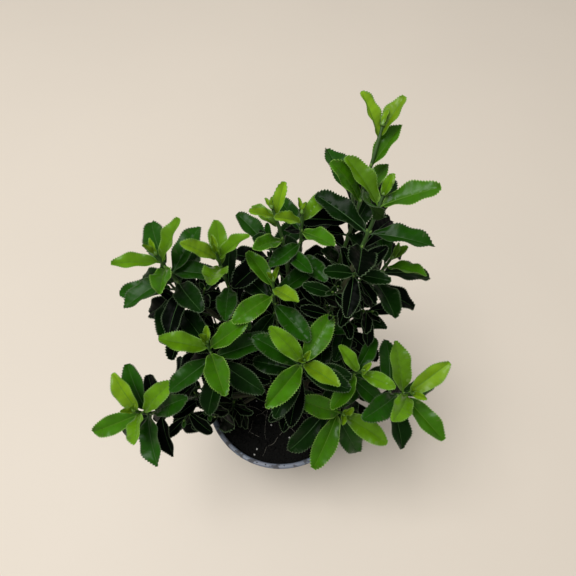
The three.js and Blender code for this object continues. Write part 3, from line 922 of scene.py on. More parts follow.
@dataclass(frozen=True)
class Finish:
    """A finish: its colour and the patches, roughness and relief that vary over it. Sizes are in metres.

    Its patterns lie on the object's own place, or on the attribute that it follows.
    """

    name: str
    colour: Colour
    patch_colour: Colour
    patch_size: float = 0.006
    patch_amount: float = 0.5
    roughness: float = 0.5
    roughness_spread: float = 0.15
    grain_size: float = 0.0005
    relief: float = 0.00003
    specular: float = 0.5
    follows: str = ""

    def material(self, groups: dict[str, bpy.types.NodeTree]) -> bpy.types.Material:
        """The finish as a material.

        Args:
            groups: The shared shader groups by name.

        Returns:
            The material.
        """
        made = bpy.data.materials.new(self.name)
        made.use_nodes = True
        made.node_tree.nodes.clear()
        sketch = NodeSketch(made.node_tree)
        if self.follows:
            place = sketch.add("ShaderNodeAttribute", attribute_name=self.follows).outputs["Vector"]
        else:
            place = sketch.add("ShaderNodeTexCoord").outputs["Object"]
        uneven = sketch.add("ShaderNodeGroup", {
            "Place": place, "Colour": (*self.colour, 1), "Patch Colour": (*self.patch_colour, 1),
            "Patch Size": self.patch_size, "Patch Amount": self.patch_amount, "Roughness": self.roughness,
            "Roughness Spread": self.roughness_spread, "Grain Size": self.grain_size,
        }, node_tree=groups["variation"]).outputs
        colour, roughness = self.dressed(sketch, groups, uneven["Colour"], uneven["Roughness"])
        bump = sketch.add("ShaderNodeBump", {"Height": uneven["Height"], "Distance": self.relief})
        shader = sketch.add("ShaderNodeBsdfPrincipled", {
            "Base Color": colour, "Roughness": roughness, "Normal": bump.outputs[0],
            "Specular IOR Level": self.specular})
        sketch.add("ShaderNodeOutputMaterial", {"Surface": shader.outputs[0]})
        return made

    def dressed(self, sketch: NodeSketch, groups: dict[str, bpy.types.NodeTree], colour: Socket,
                roughness: Socket) -> tuple[Socket, Socket]:
        """The colour and roughness that reach the shader, here as the shared group gives them."""
        return colour, roughness


@dataclass(frozen=True)
class SoiledFinish(Finish):
    """A finish with soil caught above a height, as on a pot's lip."""

    soil: Colour = (0.03, 0.025, 0.02)
    soil_from: float = 0.070
    soil_to: float = 0.079
    soil_size: float = 0.003
    soil_amount: float = 0.7
    soil_roughness: float = 0.9

    def dressed(self, sketch: NodeSketch, groups: dict[str, bpy.types.NodeTree], colour: Socket,
                roughness: Socket) -> tuple[Socket, Socket]:
        """The colour and roughness with the soil laid over them.

        Args:
            sketch: The material's nodes.
            groups: The shared shader groups by name.
            colour: The clean colour.
            roughness: The clean roughness.

        Returns:
            The soiled colour and roughness.
        """
        mask = sketch.add("ShaderNodeGroup", {
            "Place": sketch.add("ShaderNodeTexCoord").outputs["Object"], "From Height": self.soil_from,
            "To Height": self.soil_to, "Size": self.soil_size, "Amount": self.soil_amount,
        }, node_tree=groups["soil_marks"]).outputs[0]
        rough = sketch.add("ShaderNodeMix", {"Factor": mask, 2: roughness, 3: self.soil_roughness})
        return sketch.mix(mask, colour, self.soil), rough.outputs[0]


@dataclass(frozen=True)
class BladeFinish(Finish):
    """A leaf's upper side: darker at its base as painted shade, and paler along its midrib, side veins and
    margin.

    Each leaf is also a little darker or lighter than the next. base, midrib, veins and margin say how strong
    each mark is.
    """

    pale: Colour = (0.1, 0.2, 0.05)
    painted_base_shade: Colour = (0.02, 0.06, 0.002)
    base: float = 0.65
    midrib: float = 0.3
    veins: float = 0.15
    margin: float = 0.35

    def dressed(self, sketch: NodeSketch, groups: dict[str, bpy.types.NodeTree], colour: Socket,
                roughness: Socket) -> tuple[Socket, Socket]:
        """The colour with the blade's own marks and the painted shade at its base laid over it, and the
        roughness.

        Args:
            sketch: The material's nodes.
            groups: The shared shader groups by name.
            colour: The plain colour.
            roughness: The plain roughness.

        Returns:
            The marked colour, and the roughness as it was.
        """
        marks = sketch.add("ShaderNodeGroup", {
            "On Leaf": sketch.add("ShaderNodeAttribute", attribute_name="on_leaf").outputs["Vector"],
            "Vein Count": LeafShape.veins, "Vein Lean": LeafShape.vein_lean,
        }, node_tree=groups["leaf_marks"]).outputs
        for name, amount, other in (("Base", self.base, self.painted_base_shade), ("Midrib", self.midrib, self.pale),
                                    ("Veins", self.veins, self.pale), ("Margin", self.margin, self.pale)):
            colour = sketch.mix(sketch.math("MULTIPLY", marks[name], amount), colour, other)
        light = sketch.add("ShaderNodeHueSaturation", {"Value": marks["Lightness"], "Color": colour})
        return light.outputs[0], roughness


def in_scene(name: str, data: bpy.types.ID) -> bpy.types.Object:
    """A new object in the scene, at the origin.

    Args:
        name: Its name.
        data: Its mesh, light or camera.

    Returns:
        The object.
    """
    made = bpy.data.objects.new(name, data)
    bpy.context.scene.collection.objects.link(made)
    return made


def made_plain(made: bpy.types.Object) -> bpy.types.Object:
    """Turns what an object's modifiers make into its own plain mesh.

    Args:
        made: The object.

    Returns:
        The same object.
    """
    bpy.context.view_layer.update()
    plain = bpy.data.meshes.new_from_object(made.evaluated_get(bpy.context.evaluated_depsgraph_get()))
    made.modifiers.clear()
    plain.name = made.name
    made.data = plain
    return made


@dataclass(frozen=True)
class Piece:
    """A finished mesh piece and what it stands for."""

    name: str
    slot: str
    replaces: tuple[str, ...] = ()


class Workshop:
    """Makes meshes, dresses them and hands them to the frame."""

    def __init__(self) -> None:
        """Builds the shared shader groups."""
        self.groups = {"variation": Shared.variation(), "soil_marks": Shared.soil_marks(),
                       "leaf_marks": Shared.leaf_marks()}
        self.materials: dict[str, bpy.types.Material] = {}

    def finish(self, finish: Finish) -> bpy.types.Material:
        """The material of a finish, made once.

        Args:
            finish: The finish.

        Returns:
            The material.
        """
        if finish.name not in self.materials:
            self.materials[finish.name] = finish.material(self.groups)
        return self.materials[finish.name]

    def mesh(self, name: str, points: np.ndarray, faces: Faces, finishes: list[Finish],
             slots: list[int] | None = None, crease: float = 50) -> bpy.types.Object:
        """A smooth-shaded mesh object.

        Args:
            name: The object's name.
            points: Its corners in millimetres.
            faces: Corner numbers of its faces.
            finishes: Its finishes.
            slots: Each face's finish number, or None for all the first.
            crease: Angle in degrees above which an edge is sharp.

        Returns:
            The object.
        """
        data = bpy.data.meshes.new(name)
        data.from_pydata((points * MM).tolist(), [], faces)
        for finish in finishes:
            data.materials.append(self.finish(finish))
        if slots is not None:
            data.polygons.foreach_set("material_index", np.array(slots, np.int32))
        data.polygons.foreach_set("use_smooth", np.ones(len(data.polygons), bool))
        data.set_sharp_from_angle(angle=math.radians(crease))
        data.update()
        return in_scene(name, data)

    def marked_points(self, name: str, points: np.ndarray, edges: list[tuple[int, int]],
                      **values: np.ndarray) -> bpy.types.Object:
        """Points or lines that carry values, for Geometry Nodes to build on.

        Args:
            name: The object's name.
            points: The points in millimetres.
            edges: Point numbers of the lines' edges.
            values: Numbers or vectors at each point, by name.

        Returns:
            The object.
        """
        data = bpy.data.meshes.new(name)
        data.from_pydata((points * MM).tolist(), edges, [])
        for label, value in values.items():
            kind, key = ("FLOAT", "value") if value.ndim == 1 else ("FLOAT_VECTOR", "vector")
            data.attributes.new(label, kind, "POINT").data.foreach_set(key, value.ravel())
        return in_scene(name, data)

    def baked(self, made: bpy.types.Object, tree: bpy.types.NodeTree, finish: Finish,
              inputs: dict[str, float]) -> bpy.types.Object:
        """The object with a Geometry Nodes tree applied, as a plain mesh.

        Args:
            made: The object that the tree reads.
            tree: The tree.
            finish: What its Material input is given.
            inputs: Values of its other inputs by name.

        Returns:
            The same object with its new mesh.
        """
        modifier = made.modifiers.new(tree.name, "NODES")
        modifier.node_group = tree
        given = {**inputs, "Material": self.finish(finish)}
        for socket in tree.interface.items_tree:
            if getattr(socket, "in_out", "") == "INPUT" and socket.name in given:
                modifier[socket.identifier] = given[socket.name]
        return made_plain(made)

    def hand_over(self, made: bpy.types.Object, piece: Piece) -> None:
        """Lets a finished piece ride on the body and stand for its nodes.

        Args:
            made: The finished object.
            piece: Its name and the part's nodes that it replaces.
        """
        made.data.calc_loop_triangles()
        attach(made, BODY)
        if piece.replaces:
            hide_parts(*piece.replaces)
        LOG.info("%s: %d triangles", piece.name, len(made.data.loop_triangles))


def ring_points(rings: list[tuple[float, float]], segments: int) -> np.ndarray:
    """Points round Z on rings of some radii and heights."""
    angle = np.arange(segments) * TAU / segments
    return np.array([vec(r * math.cos(a), r * math.sin(a), z) for r, z in rings for a in angle])


def between_rings(count: int, sides: int, closed: bool = False) -> Faces:
    """Faces that join a row of rings.

    Args:
        count: How many rings there are.
        sides: How many points each has.
        closed: Whether the last ring joins the first.

    Returns:
        The faces' corner numbers.
    """
    faces = []
    for ring in range(count if closed else count - 1):
        here, there = sides * ring, sides * ((ring + 1) % count)
        for j in range(sides):
            k = (j + 1) % sides
            faces.append([here + j, here + k, there + k, there + j])
    return faces


def turned(profile: list[tuple[float, float]], segments: int) -> tuple[np.ndarray, Faces]:
    """A closed body of revolution about Z.

    Args:
        profile: Radius and height of each corner, from the axis round to the axis, outside wall upwards.
        segments: Divisions round.

    Returns:
        Corners and faces.
    """
    rings = profile[1:-1]
    points = np.vstack([ring_points(rings, segments), [[0, 0, profile[0][1]], [0, 0, profile[-1][1]]]])
    faces = between_rings(len(rings), segments)
    first, last = len(points) - 2, len(points) - 1
    top = (len(rings) - 1) * segments
    for j in range(segments):
        k = (j + 1) % segments
        faces += [[k, j, first], [top + j, top + k, last]]
    return points, faces


def corner(middle: tuple[float, float], radius: float, start: float, end: float,
           steps: int = 6) -> list[tuple[float, float]]:
    """A round corner of a profile, between two angles in degrees."""
    turns = [math.radians(start + (end - start) * i / steps) for i in range(steps + 1)]
    return [(middle[0] + radius * math.cos(a), middle[1] + radius * math.sin(a)) for a in turns]


class Chance(NamedTuple):
    """A leaf's own draws, from -1 to 1: its twist, sideways bend, fold, ripple and tone."""

    twist: float
    sideways: float
    fold: float
    ripple: float
    tone: float


@dataclass
class Surface:
    """A blade's points: its upper and under sides row by row, its base and tip, its spine and its marks."""

    upper: np.ndarray
    under: np.ndarray
    base: np.ndarray
    tip: np.ndarray
    middle: np.ndarray
    face: np.ndarray
    marks: np.ndarray


@dataclass(frozen=True)
class LeafShape:
    """The fine shape of a leaf: its teeth, veins and folds, in millimetres and shares of its length."""

    rows: int = 44
    tooth: float = 0.024
    tooth_lean: float = 0.35
    teeth_from: float = 0.2
    teeth_full: float = 0.15
    thickness: float = 0.28
    veins: float = 7
    vein_lean: float = 1.1
    vein_height: float = 0.11
    vein_below: float = 0.6
    wave: float = 0.03
    waves: float = 2.3
    cupping: float = 0.22
    twist: float = 0.3
    sideways: float = 0.08
    fold_more: float = 10
    fold_young: float = 18
    fold_fade: float = 1.1
    fold_chance: float = 8
    base_at: float = 0.07
    base_bluntness: float = 0.52
    tip_bluntness: float = 0.66
    blunt_from: float = 0.1
    blunt_to: float = 0.7
    slimness: float = 0.98
    margin_out: float = 0.1
    margin_in: float = 0.26
    margin_above: float = 0.07
    margin_below: float = 0.16
    across: tuple[float, ...] = (-1, -0.66, -0.33, 0, 0.33, 0.66, 1)
    across_under: tuple[float, ...] = (0,)
    rib_at: tuple[float, ...] = (0, 0.08, 0.2, 1)
    rib_half: tuple[float, ...] = (0.62, 0.5, 0.34, 0.08)
    rib_above: tuple[float, ...] = (0.35, 0.3, 0.16, 0.05)
    rib_below: tuple[float, ...] = (0.5, 0.5, 0.45, 0.2)
    rib_bend: float = 0.06
    rib_end: float = 0.96
    rib_steps: int = 9
    rib_leaf: float = 25

    def frames(self, leaf: Leaf, t: np.ndarray, chance: Chance) -> tuple[np.ndarray, np.ndarray, np.ndarray]:
        """The blade's middle with its own slight twist and sideways bend.

        Args:
            leaf: The leaf.
            t: Shares of its length.
            chance: Its own draws.

        Returns:
            Middle, side and face there.
        """
        middle, face = leaf.spine(t)
        twist = (self.twist * chance.twist * t)[:, None]
        middle = middle + leaf.side * (leaf.size * self.sideways * chance.sideways * t * t)[:, None]
        side = leaf.side * np.cos(twist) + face * np.sin(twist)
        return middle, side, face * np.cos(twist) - leaf.side * np.sin(twist)

    def outline(self, s: np.ndarray) -> np.ndarray:
        """Half width of the blade, a little slimmer than the room kept for it.

        Args:
            s: Shares of the way along it.

        Returns:
            Shares of the widest half width.
        """
        blunter = smooth(self.blunt_from, self.blunt_to, s)
        power = self.base_bluntness + (self.tip_bluntness - self.base_bluntness) * blunter
        return np.sin(np.pi * np.clip(s, 0, 1) ** BLADE.widest) ** power * self.slimness

    def fold_of(self, leaf: Leaf, chance: Chance) -> float:
        """Angle that the halves of the blade are folded up by: the youngest leaves are nearly shut."""
        young = self.fold_young * math.exp(-max(leaf.age, leaf.pair) / self.fold_fade)
        return math.radians(BLADE.fold + self.fold_more + young + self.fold_chance * chance.fold)

    def surface(self, leaf: Leaf, chance: Chance) -> Surface:
        """The blade's points.

        Args:
            leaf: The leaf.
            chance: Its own draws.

        Returns:
            The points and the marks that its finish reads.
        """
        n = self.rows
        s = np.arange(1, n) / n
        middle, side, face = self.frames(leaf, self.base_at + (1 - self.base_at) * s, chance)
        half = leaf.size * BLADE.half_width * self.outline(s)
        odd = (np.arange(1, n) % 2).astype(float)
        bite = odd * smooth(self.teeth_from, self.teeth_from + self.teeth_full, s)
        along = unit(np.gradient(middle, axis=0)) * (leaf.size / n * self.tooth_lean * bite)[:, None]
        fold = self.fold_of(leaf, chance)
        phase = TAU * (self.veins * s[:, None])
        ripple = TAU * (self.waves * s[:, None] + chance.ripple)

        def across(v: np.ndarray, lift: float) -> np.ndarray:
            """Points across the blade, with their veins lifted or sunk.

            Args:
                v: Shares of its half width.
                lift: How far up the veins go, as a share of their height.

            Returns:
                The points, row by row.
            """
            edge = (abs(v) > 0.99).astype(float)
            reach = v * (half[:, None] + leaf.size * self.tooth * bite[:, None] * edge)
            height = abs(reach) * math.sin(fold) * (1 - self.cupping * v * v)
            vein = np.sin(phase - TAU * self.vein_lean * abs(v)) * 4 * abs(v) * (1 - abs(v))
            wave = np.sin(ripple + np.sign(v)) * abs(v) ** 3 * leaf.size * self.wave
            height = height + vein * self.vein_height * lift + wave
            return (middle[:, None] + side[:, None] * (reach * math.cos(fold))[..., None]
                    + face[:, None] * height[..., None] + along[:, None] * edge[:, None])

        v, u = np.array(self.across), np.array(self.across_under)
        base, tip = self.frames(leaf, np.array([self.base_at, 1.0]), chance)[0]
        marks = [np.stack(np.broadcast_arrays(w, s[:, None], chance.tone), -1).reshape(-1, 3) for w in (v, u)]
        marks = np.concatenate([*marks, [[0, 0, chance.tone], [0, 1, chance.tone]]])
        under = across(u, -self.vein_below) - face[:, None] * self.thickness
        return Surface(across(v, 1.0), under, base, tip, middle, face, marks)

    def blade(self, found: Surface) -> tuple[np.ndarray, Faces, list[int]]:
        """A closed blade.

        Args:
            found: Its points.

        Returns:
            Corners, faces and face slots, 0 above and 1 below.
        """
        rows, top, under = self.rows - 1, len(self.across), len(self.across_under)
        points = np.concatenate([found.upper.reshape(-1, 3), found.under.reshape(-1, 3),
                                 found.base[None], found.tip[None]])
        first = rows * top
        base, tip = len(points) - 2, len(points) - 1

        def above(i: int) -> list[int]:
            """Corner numbers across the upper side."""
            return [i * top + j for j in range(top)]

        def below(i: int) -> list[int]:
            """Corner numbers across the under side, with the upper side's edges."""
            return [i * top, *(first + i * under + j for j in range(under)), i * top + top - 1]

        faces, slots = [], []
        for line, slot in ((above, 0), (below, 1)):
            for i in range(rows - 1):
                low, high = line(i), line(i + 1)
                for j in range(len(low) - 1):
                    face = [low[j], low[j + 1], high[j + 1], high[j]]
                    faces.append(face if slot == 0 else face[::-1])
                    slots.append(slot)
            for ring, pole, flip in ((line(0), base, False), (line(rows - 1), tip, True)):
                for j in range(len(ring) - 1):
                    face = [ring[j], pole, ring[j + 1]]
                    faces.append(face[::-1] if flip == (slot == 0) else face)
                    slots.append(slot)
        return points, faces, slots

    def margin(self, found: Surface) -> tuple[np.ndarray, Faces]:
        """A thin rim that follows the toothed outline, as a closed ring of three-sided section.

        Args:
            found: The blade's points.

        Returns:
            Corners and faces.
        """
        right, left = found.upper[:, -1], found.upper[:, 0]
        outline = np.concatenate([found.base[None], right, found.tip[None], left[::-1]])
        inward = np.concatenate([-unit(found.base - found.middle[0])[None], unit(found.middle - right),
                                 -unit(found.tip - found.middle[-1])[None],
                                 unit(found.middle - left)[::-1]])
        up = np.concatenate([found.face[:1], found.face, found.face[-1:], found.face[::-1]])
        inner = outline + inward * self.margin_in
        points = np.stack([outline - inward * self.margin_out, inner + up * self.margin_above,
                           inner - up * self.margin_below], 1)
        return points.reshape(-1, 3), between_rings(len(outline), 3, closed=True)

    def rib(self, leaf: Leaf, chance: Chance) -> tuple[np.ndarray, Faces]:
        """The stalk and the midrib that it runs on into, as one tapering rod of four-sided section.

        Args:
            leaf: The leaf.
            chance: Its own draws.

        Returns:
            Corners and faces.
        """
        t = np.concatenate([[0, self.rib_bend], np.linspace(BLADE.stalk, self.rib_end, self.rib_steps)])
        middle, side, face = self.frames(leaf, t, chance)
        share = leaf.size / self.rib_leaf
        half, above, below = (np.interp(t, self.rib_at, size)[:, None] * share
                              for size in (self.rib_half, self.rib_above, self.rib_below))
        below = below + self.thickness / 2
        points = np.stack([middle - side * half, middle + face * above, middle + side * half,
                           middle - face * below], 1).reshape(-1, 3)
        points = np.concatenate([points, middle[:1], middle[-1:]])
        sides = 4
        faces = between_rings(len(t), sides)
        last, root, end = sides * (len(t) - 1), len(points) - 2, len(points) - 1
        for e in range(sides):
            f = (e + 1) % sides
            faces += [[f, e, root], [last + e, last + f, end]]
        return points, faces


@dataclass
class MeshPile:
    """Gathers many small meshes that become one piece."""

    points: list[np.ndarray] = field(default_factory=list)
    faces: Faces = field(default_factory=list)
    slots: list[int] = field(default_factory=list)
    marks: list[np.ndarray] = field(default_factory=list)
    count: int = 0

    def add(self, points: np.ndarray, faces: Faces, slots: list[int] | None = None) -> None:
        """Adds one small mesh.

        Args:
            points: Its corners.
            faces: Its faces.
            slots: Each face's finish number, or None for all the first.
        """
        self.faces += [[corner + self.count for corner in face] for face in faces]
        self.slots += slots if slots is not None else [0] * len(faces)
        self.points.append(points)
        self.count += len(points)


TRIMS = {
    "rims_fresh": Finish("leaf_rim_fresh", (0.13, 0.27, 0.03), (0.2, 0.34, 0.06), roughness=0.6,
                         specular=0.3),
    "rims_aged": Finish("leaf_rim_aged", (0.048, 0.082, 0.033), (0.095, 0.138, 0.066), roughness=0.6,
                        specular=0.2),
    "ribs_fresh": Finish("leaf_rib_fresh", (0.07, 0.17, 0.008), (0.09, 0.2, 0.015), roughness=0.5,
                         specular=0.15),
    "ribs_aged": Finish("leaf_rib_aged", (0.03, 0.09, 0.015), (0.05, 0.12, 0.03), roughness=0.5,
                        specular=0.3),
}


@dataclass
class Foliage:
    """All leaves of the plant, joined by tone (their age, with painted shade added where other leaves stand
    over them), with their rims and ribs.
    """

    growth: Growth
    shop: Workshop
    fine: LeafShape = LeafShape()
    plain: LeafShape = LeafShape(rows=18, vein_height=0.05)
    fine_above: float = 15
    tone_chance: float = 0.5
    # The painted shade: each leaf whose middle stands within shade_radius across and more than shade_height
    # above darkens a leaf by shade_each, up to shade_most.
    shade_radius: float = 12
    shade_height: float = 9
    shade_each: float = 0.3
    shade_most: float = 1.8
    patch_size: float = 0.004
    grain_size: float = 0.0006
    middles: np.ndarray = field(init=False)

    def __post_init__(self) -> None:
        """Finds the middle of every leaf."""
        self.middles = np.array([placed.points[NET.middle] for placed in self.growth.placed])

    def build(self) -> None:
        """Builds the leaf pieces, and lets them stand for the masses of foliage."""
        blades = {tone: MeshPile() for tone in Tone}
        trims = {name: MeshPile() for name in TRIMS}
        chances = np.random.default_rng(HABIT.seed)
        for twig in self.growth.twigs + self.growth.sprigs:
            for leaf in twig.leaves:
                chance = Chance(*chances.uniform(-1, 1, 5))
                shape = self.fine if leaf.size > self.fine_above else self.plain
                found = shape.surface(leaf, chance)
                # The tone goes by the leaf's age, with painted shade added where other leaves stand over it.
                tone = Tone.of_age(leaf.age + self.painted_shade(leaf) + self.tone_chance * chance.tone)
                blades[tone].add(*shape.blade(found))
                blades[tone].marks.append(found.marks)
                trims[f"rims_{tone.value.margin}"].add(*shape.margin(found))
                trims[f"ribs_{tone.value.margin}"].add(*shape.rib(leaf, chance))
        masses = [f"foliage_{shoot.name}" for shoot in SHOOTS]
        for tone, pile in blades.items():
            if pile.count:
                nodes = masses if tone is Tone.MID else []
                self.piece(f"leaves_{tone.name.lower()}", pile, self.finishes(tone), nodes)
        for name, pile in trims.items():
            self.piece(f"leaf_{name}", pile, [TRIMS[name]], [])

    def painted_shade(self, leaf: Leaf) -> float:
        """Painted shade: how much darker a leaf's colour is made because other leaves stand over it, in pairs
        of age.

        Args:
            leaf: The leaf.

        Returns:
            The added age, which darkens the leaf's colour as painted shade.
        """
        apart = self.middles - leaf.spine(np.array([0.5]))[0]
        near = np.hypot(apart[:, 0], apart[:, 1]) < self.shade_radius
        return min(self.shade_each * (near & (apart[:, 2] > self.shade_height)).sum(), self.shade_most)

    def finishes(self, tone: Tone) -> list[Finish]:
        """The finishes of the upper and under sides of one age of leaf.

        Args:
            tone: The age.

        Returns:
            Both finishes.
        """
        name, value = f"leaf_{tone.name.lower()}", tone.value
        common = {"patch_size": self.patch_size, "grain_size": self.grain_size, "specular": value.specular}
        # The blade's base is painted in shade with its own colour at 0.4.
        return [BladeFinish(name, value.upper, times(1.35, value.upper), roughness=value.roughness,
                            roughness_spread=0.16, relief=0.00002, pale=value.under,
                            painted_base_shade=times(0.4, value.upper), **common),
                Finish(f"{name}_under", value.under, times(1.2, value.under), roughness=0.6,
                       roughness_spread=0.1, relief=0.00003, **common)]

    def piece(self, name: str, pile: MeshPile, finishes: list[Finish], masses: list[str]) -> None:
        """Makes one joined piece and hands it over.

        Args:
            name: Its name.
            pile: Its small meshes.
            finishes: Its finishes.
            masses: The masses of foliage that it stands for.
        """
        made = self.shop.mesh(name, np.concatenate(pile.points), pile.faces, finishes, pile.slots)
        if pile.marks:
            marks = made.data.attributes.new("on_leaf", "FLOAT_VECTOR", "POINT")
            marks.data.foreach_set("vector", np.concatenate(pile.marks).ravel())
        self.shop.hand_over(made, Piece(name, "foliage", tuple(masses)))


def limb_tree() -> bpy.types.NodeTree:
    """Geometry Nodes that turn lines with a radius into limbs with lengthwise ridges.

    Returns:
        The tree.
    """
    sketch = NodeSketch.group("limbs_on_lines", "Geometry", {
        "Lines": "Geometry", "Sides": "Int", "Ridge": "Float", "Ridges Round": "Float",
        "Ridge Length": "Float", "Material": "Material"}, {"Limbs": "Geometry"})
    given = sketch.given
    curves = sketch.add("GeometryNodeMeshToCurve", {"Mesh": given["Lines"]}).outputs[0]
    spline = sketch.add("GeometryNodeSplineParameter").outputs
    marked = sketch.stored(curves, "along", spline["Length"])
    ring = sketch.add("GeometryNodeCurvePrimitiveCircle", {"Resolution": given["Sides"], "Radius": 1.0})
    profile = sketch.stored(ring.outputs[0], "around", sketch.math("MULTIPLY", spline["Factor"], TAU))
    tube = sketch.add("GeometryNodeCurveToMesh", {
        "Curve": marked, "Profile Curve": profile, "Scale": sketch.named("radius"), "Fill Caps": True})
    around = sketch.named("around")
    place = sketch.joined(sketch.math("MULTIPLY", sketch.math("COSINE", around), given["Ridges Round"]),
                          sketch.math("MULTIPLY", sketch.math("SINE", around), given["Ridges Round"]),
                          sketch.math("DIVIDE", sketch.named("along"), given["Ridge Length"]))
    placed = sketch.stored(tube.outputs[0], "on_bark", place, "FLOAT_VECTOR")
    bumps = sketch.noise(place, 1.0, 3.0)[0]
    height = sketch.math("MULTIPLY", sketch.math("SUBTRACT", bumps, 0.5), given["Ridge"])
    normal = sketch.add("GeometryNodeInputNormal").outputs[0]
    return sketch.with_material(sketch.moved(placed, by=sketch.scaled(normal, height)), "Limbs")


@dataclass(frozen=True)
class LimbMake:
    """How a kind of limb is made: its finish and slot, the sides of its section and its ridges."""

    finish: Finish
    slot: str
    sides: int
    ridge: float
    ridges_round: float
    ridge_length: float


class LimbKind(Enum):
    """The kinds of limb, from the stems to the roots' fibres."""

    STEM = LimbMake(Finish("bark_stem", (0.07, 0.055, 0.03), (0.035, 0.04, 0.018), 1.2, 0.8, 0.75, 0.2, 0.35,
                           0.0002, follows="on_bark"), "bark", 18, 0.5, 2.2, 5)
    BOUGH = LimbMake(Finish("bark_bough", (0.04, 0.06, 0.018), (0.06, 0.045, 0.025), 1.5, 0.7, 0.6, 0.2, 0.35,
                            0.0001, follows="on_bark"), "bark", 12, 0.28, 1.6, 4)
    TWIG = LimbMake(Finish("twig_green", (0.04, 0.1, 0.014), (0.025, 0.06, 0.01), 1.5, 0.6, 0.45, 0.15, 0.35,
                           0.00004, follows="on_bark"), "foliage", 10, 0.12, 1.2, 3)
    FIBRE = LimbMake(Finish("root_fibres", (0.2, 0.19, 0.15), (0.06, 0.055, 0.04), 0.8, 0.7, 0.8, 0.1,
                            follows="on_bark"), "compost", 5, 0.0, 1.0, 4)


@dataclass
class Limbs:
    """Stems, boughs and green twigs, each kind made along its lines."""

    growth: Growth
    shop: Workshop
    tree: bpy.types.NodeTree = field(default_factory=limb_tree)
    step: float = 0.9
    swell_length: float = 0.9
    stem_radii: tuple[float, float] = (2.3, 1.6)
    stem_nodes: tuple[float, float] = (0.45, 0.8)
    stem_swelling: float = 0.08
    flare: float = 0.9
    flare_end: float = 0.22
    foot_depth: float = 1.5
    foot_flare: float = 0.3
    bough_radii: tuple[float, float] = (1.35, 1.02)
    bough_node: float = 8
    bough_node_step: float = 9.5
    bough_swelling: float = 0.14
    bough_overlap: float = 0.5
    twig_radii: tuple[float, float] = (1.0, 0.6)
    twig_swelling: float = 0.22
    twig_short: float = 0.6
    sprig_radii: tuple[float, float] = (0.55, 0.38)
    sprig_short: float = 0.3

    def run(self, route: Route, start: float, end: float, radii: tuple[float, float],
            nodes: list[float], swelling: float) -> tuple[np.ndarray, np.ndarray]:
        """A stretch of a route with its tapering radius, swollen where leaves leave it or once did.

        Args:
            route: The route.
            start: Distance along it where the limb starts.
            end: Distance where it ends.
            radii: Its radius at both ends.
            nodes: Distances of its swellings.
            swelling: How much each adds to the radius, as a share.

        Returns:
            The points and the radius at each.
        """
        line = route.stretch(start, end, self.step)
        at = np.linspace(start, end, len(line))
        radius = np.interp(at, [start, end], radii)
        for node in nodes:
            radius = radius * (1 + swelling * np.exp(-(((at - node) / self.swell_length) ** 2)))
        return line, radius

    def stem(self, route: Route) -> tuple[np.ndarray, np.ndarray]:
        """A stem, flared at its foot and let a little way into the compost.

        Args:
            route: Its route.

        Returns:
            The points and the radius at each.
        """
        nodes = [route.length * share for share in self.stem_nodes]
        line, radius = self.run(route, 0, route.length, self.stem_radii, nodes, self.stem_swelling)
        share = np.linspace(0, 1, len(line))
        radius = radius + self.flare * np.maximum(0, 1 - share / self.flare_end) ** 2
        return (np.concatenate([line[:1] - UP * self.foot_depth, line]),
                np.concatenate([radius[:1] + self.foot_flare, radius]))

    def build(self) -> None:
        """Builds the three kinds of limb."""
        stems = [self.stem(route) for route in self.growth.stems.values()]
        boughs, twigs, bough_nodes = [], [], []
        for twig in self.growth.twigs:
            length = twig.route.length
            if twig.bare:
                nodes = list(np.arange(self.bough_node, twig.bare, self.bough_node_step))
                end = twig.bare + self.bough_overlap
                boughs.append(self.run(twig.route, 0, end, self.bough_radii, nodes, self.bough_swelling))
                bough_nodes.append(f"bough_{twig.shoot.name}")
            pairs = [length - HABIT.back_of(twig.shoot, k) for k in range(1, twig.shoot.pairs)]
            end = length - self.twig_short
            twigs.append(self.run(twig.route, twig.bare, end, self.twig_radii, pairs, self.twig_swelling))
        for sprig in self.growth.sprigs:
            end = sprig.route.length - self.sprig_short
            twigs.append(self.run(sprig.route, 0, end, self.sprig_radii, [], 0))
        self.piece("stems_bark", LimbKind.STEM, stems, [f"stem_{name}" for name in STEMS])
        self.piece("boughs_bark", LimbKind.BOUGH, boughs, bough_nodes)
        self.piece("twigs_green", LimbKind.TWIG, twigs, [])

    def piece(self, name: str, kind: LimbKind, runs: list[tuple[np.ndarray, np.ndarray]],
              nodes: list[str]) -> None:
        """Makes one kind of limb and hands it over.

        Args:
            name: The piece's name.
            kind: The kind.
            runs: Points and radii of each limb, in millimetres.
            nodes: The part's nodes that it replaces.
        """
        make = kind.value
        edges, count = [], 0
        for line, _ in runs:
            edges += [(count + i, count + i + 1) for i in range(len(line) - 1)]
            count += len(line)
        lines, radii = zip(*runs)
        made = self.shop.marked_points(name, np.concatenate(lines), edges, radius=np.concatenate(radii) * MM)
        self.shop.baked(made, self.tree, make.finish, {
            "Sides": make.sides, "Ridge": make.ridge * MM, "Ridges Round": make.ridges_round,
            "Ridge Length": make.ridge_length * MM})
        self.shop.hand_over(made, Piece(name, make.slot, tuple(nodes)))


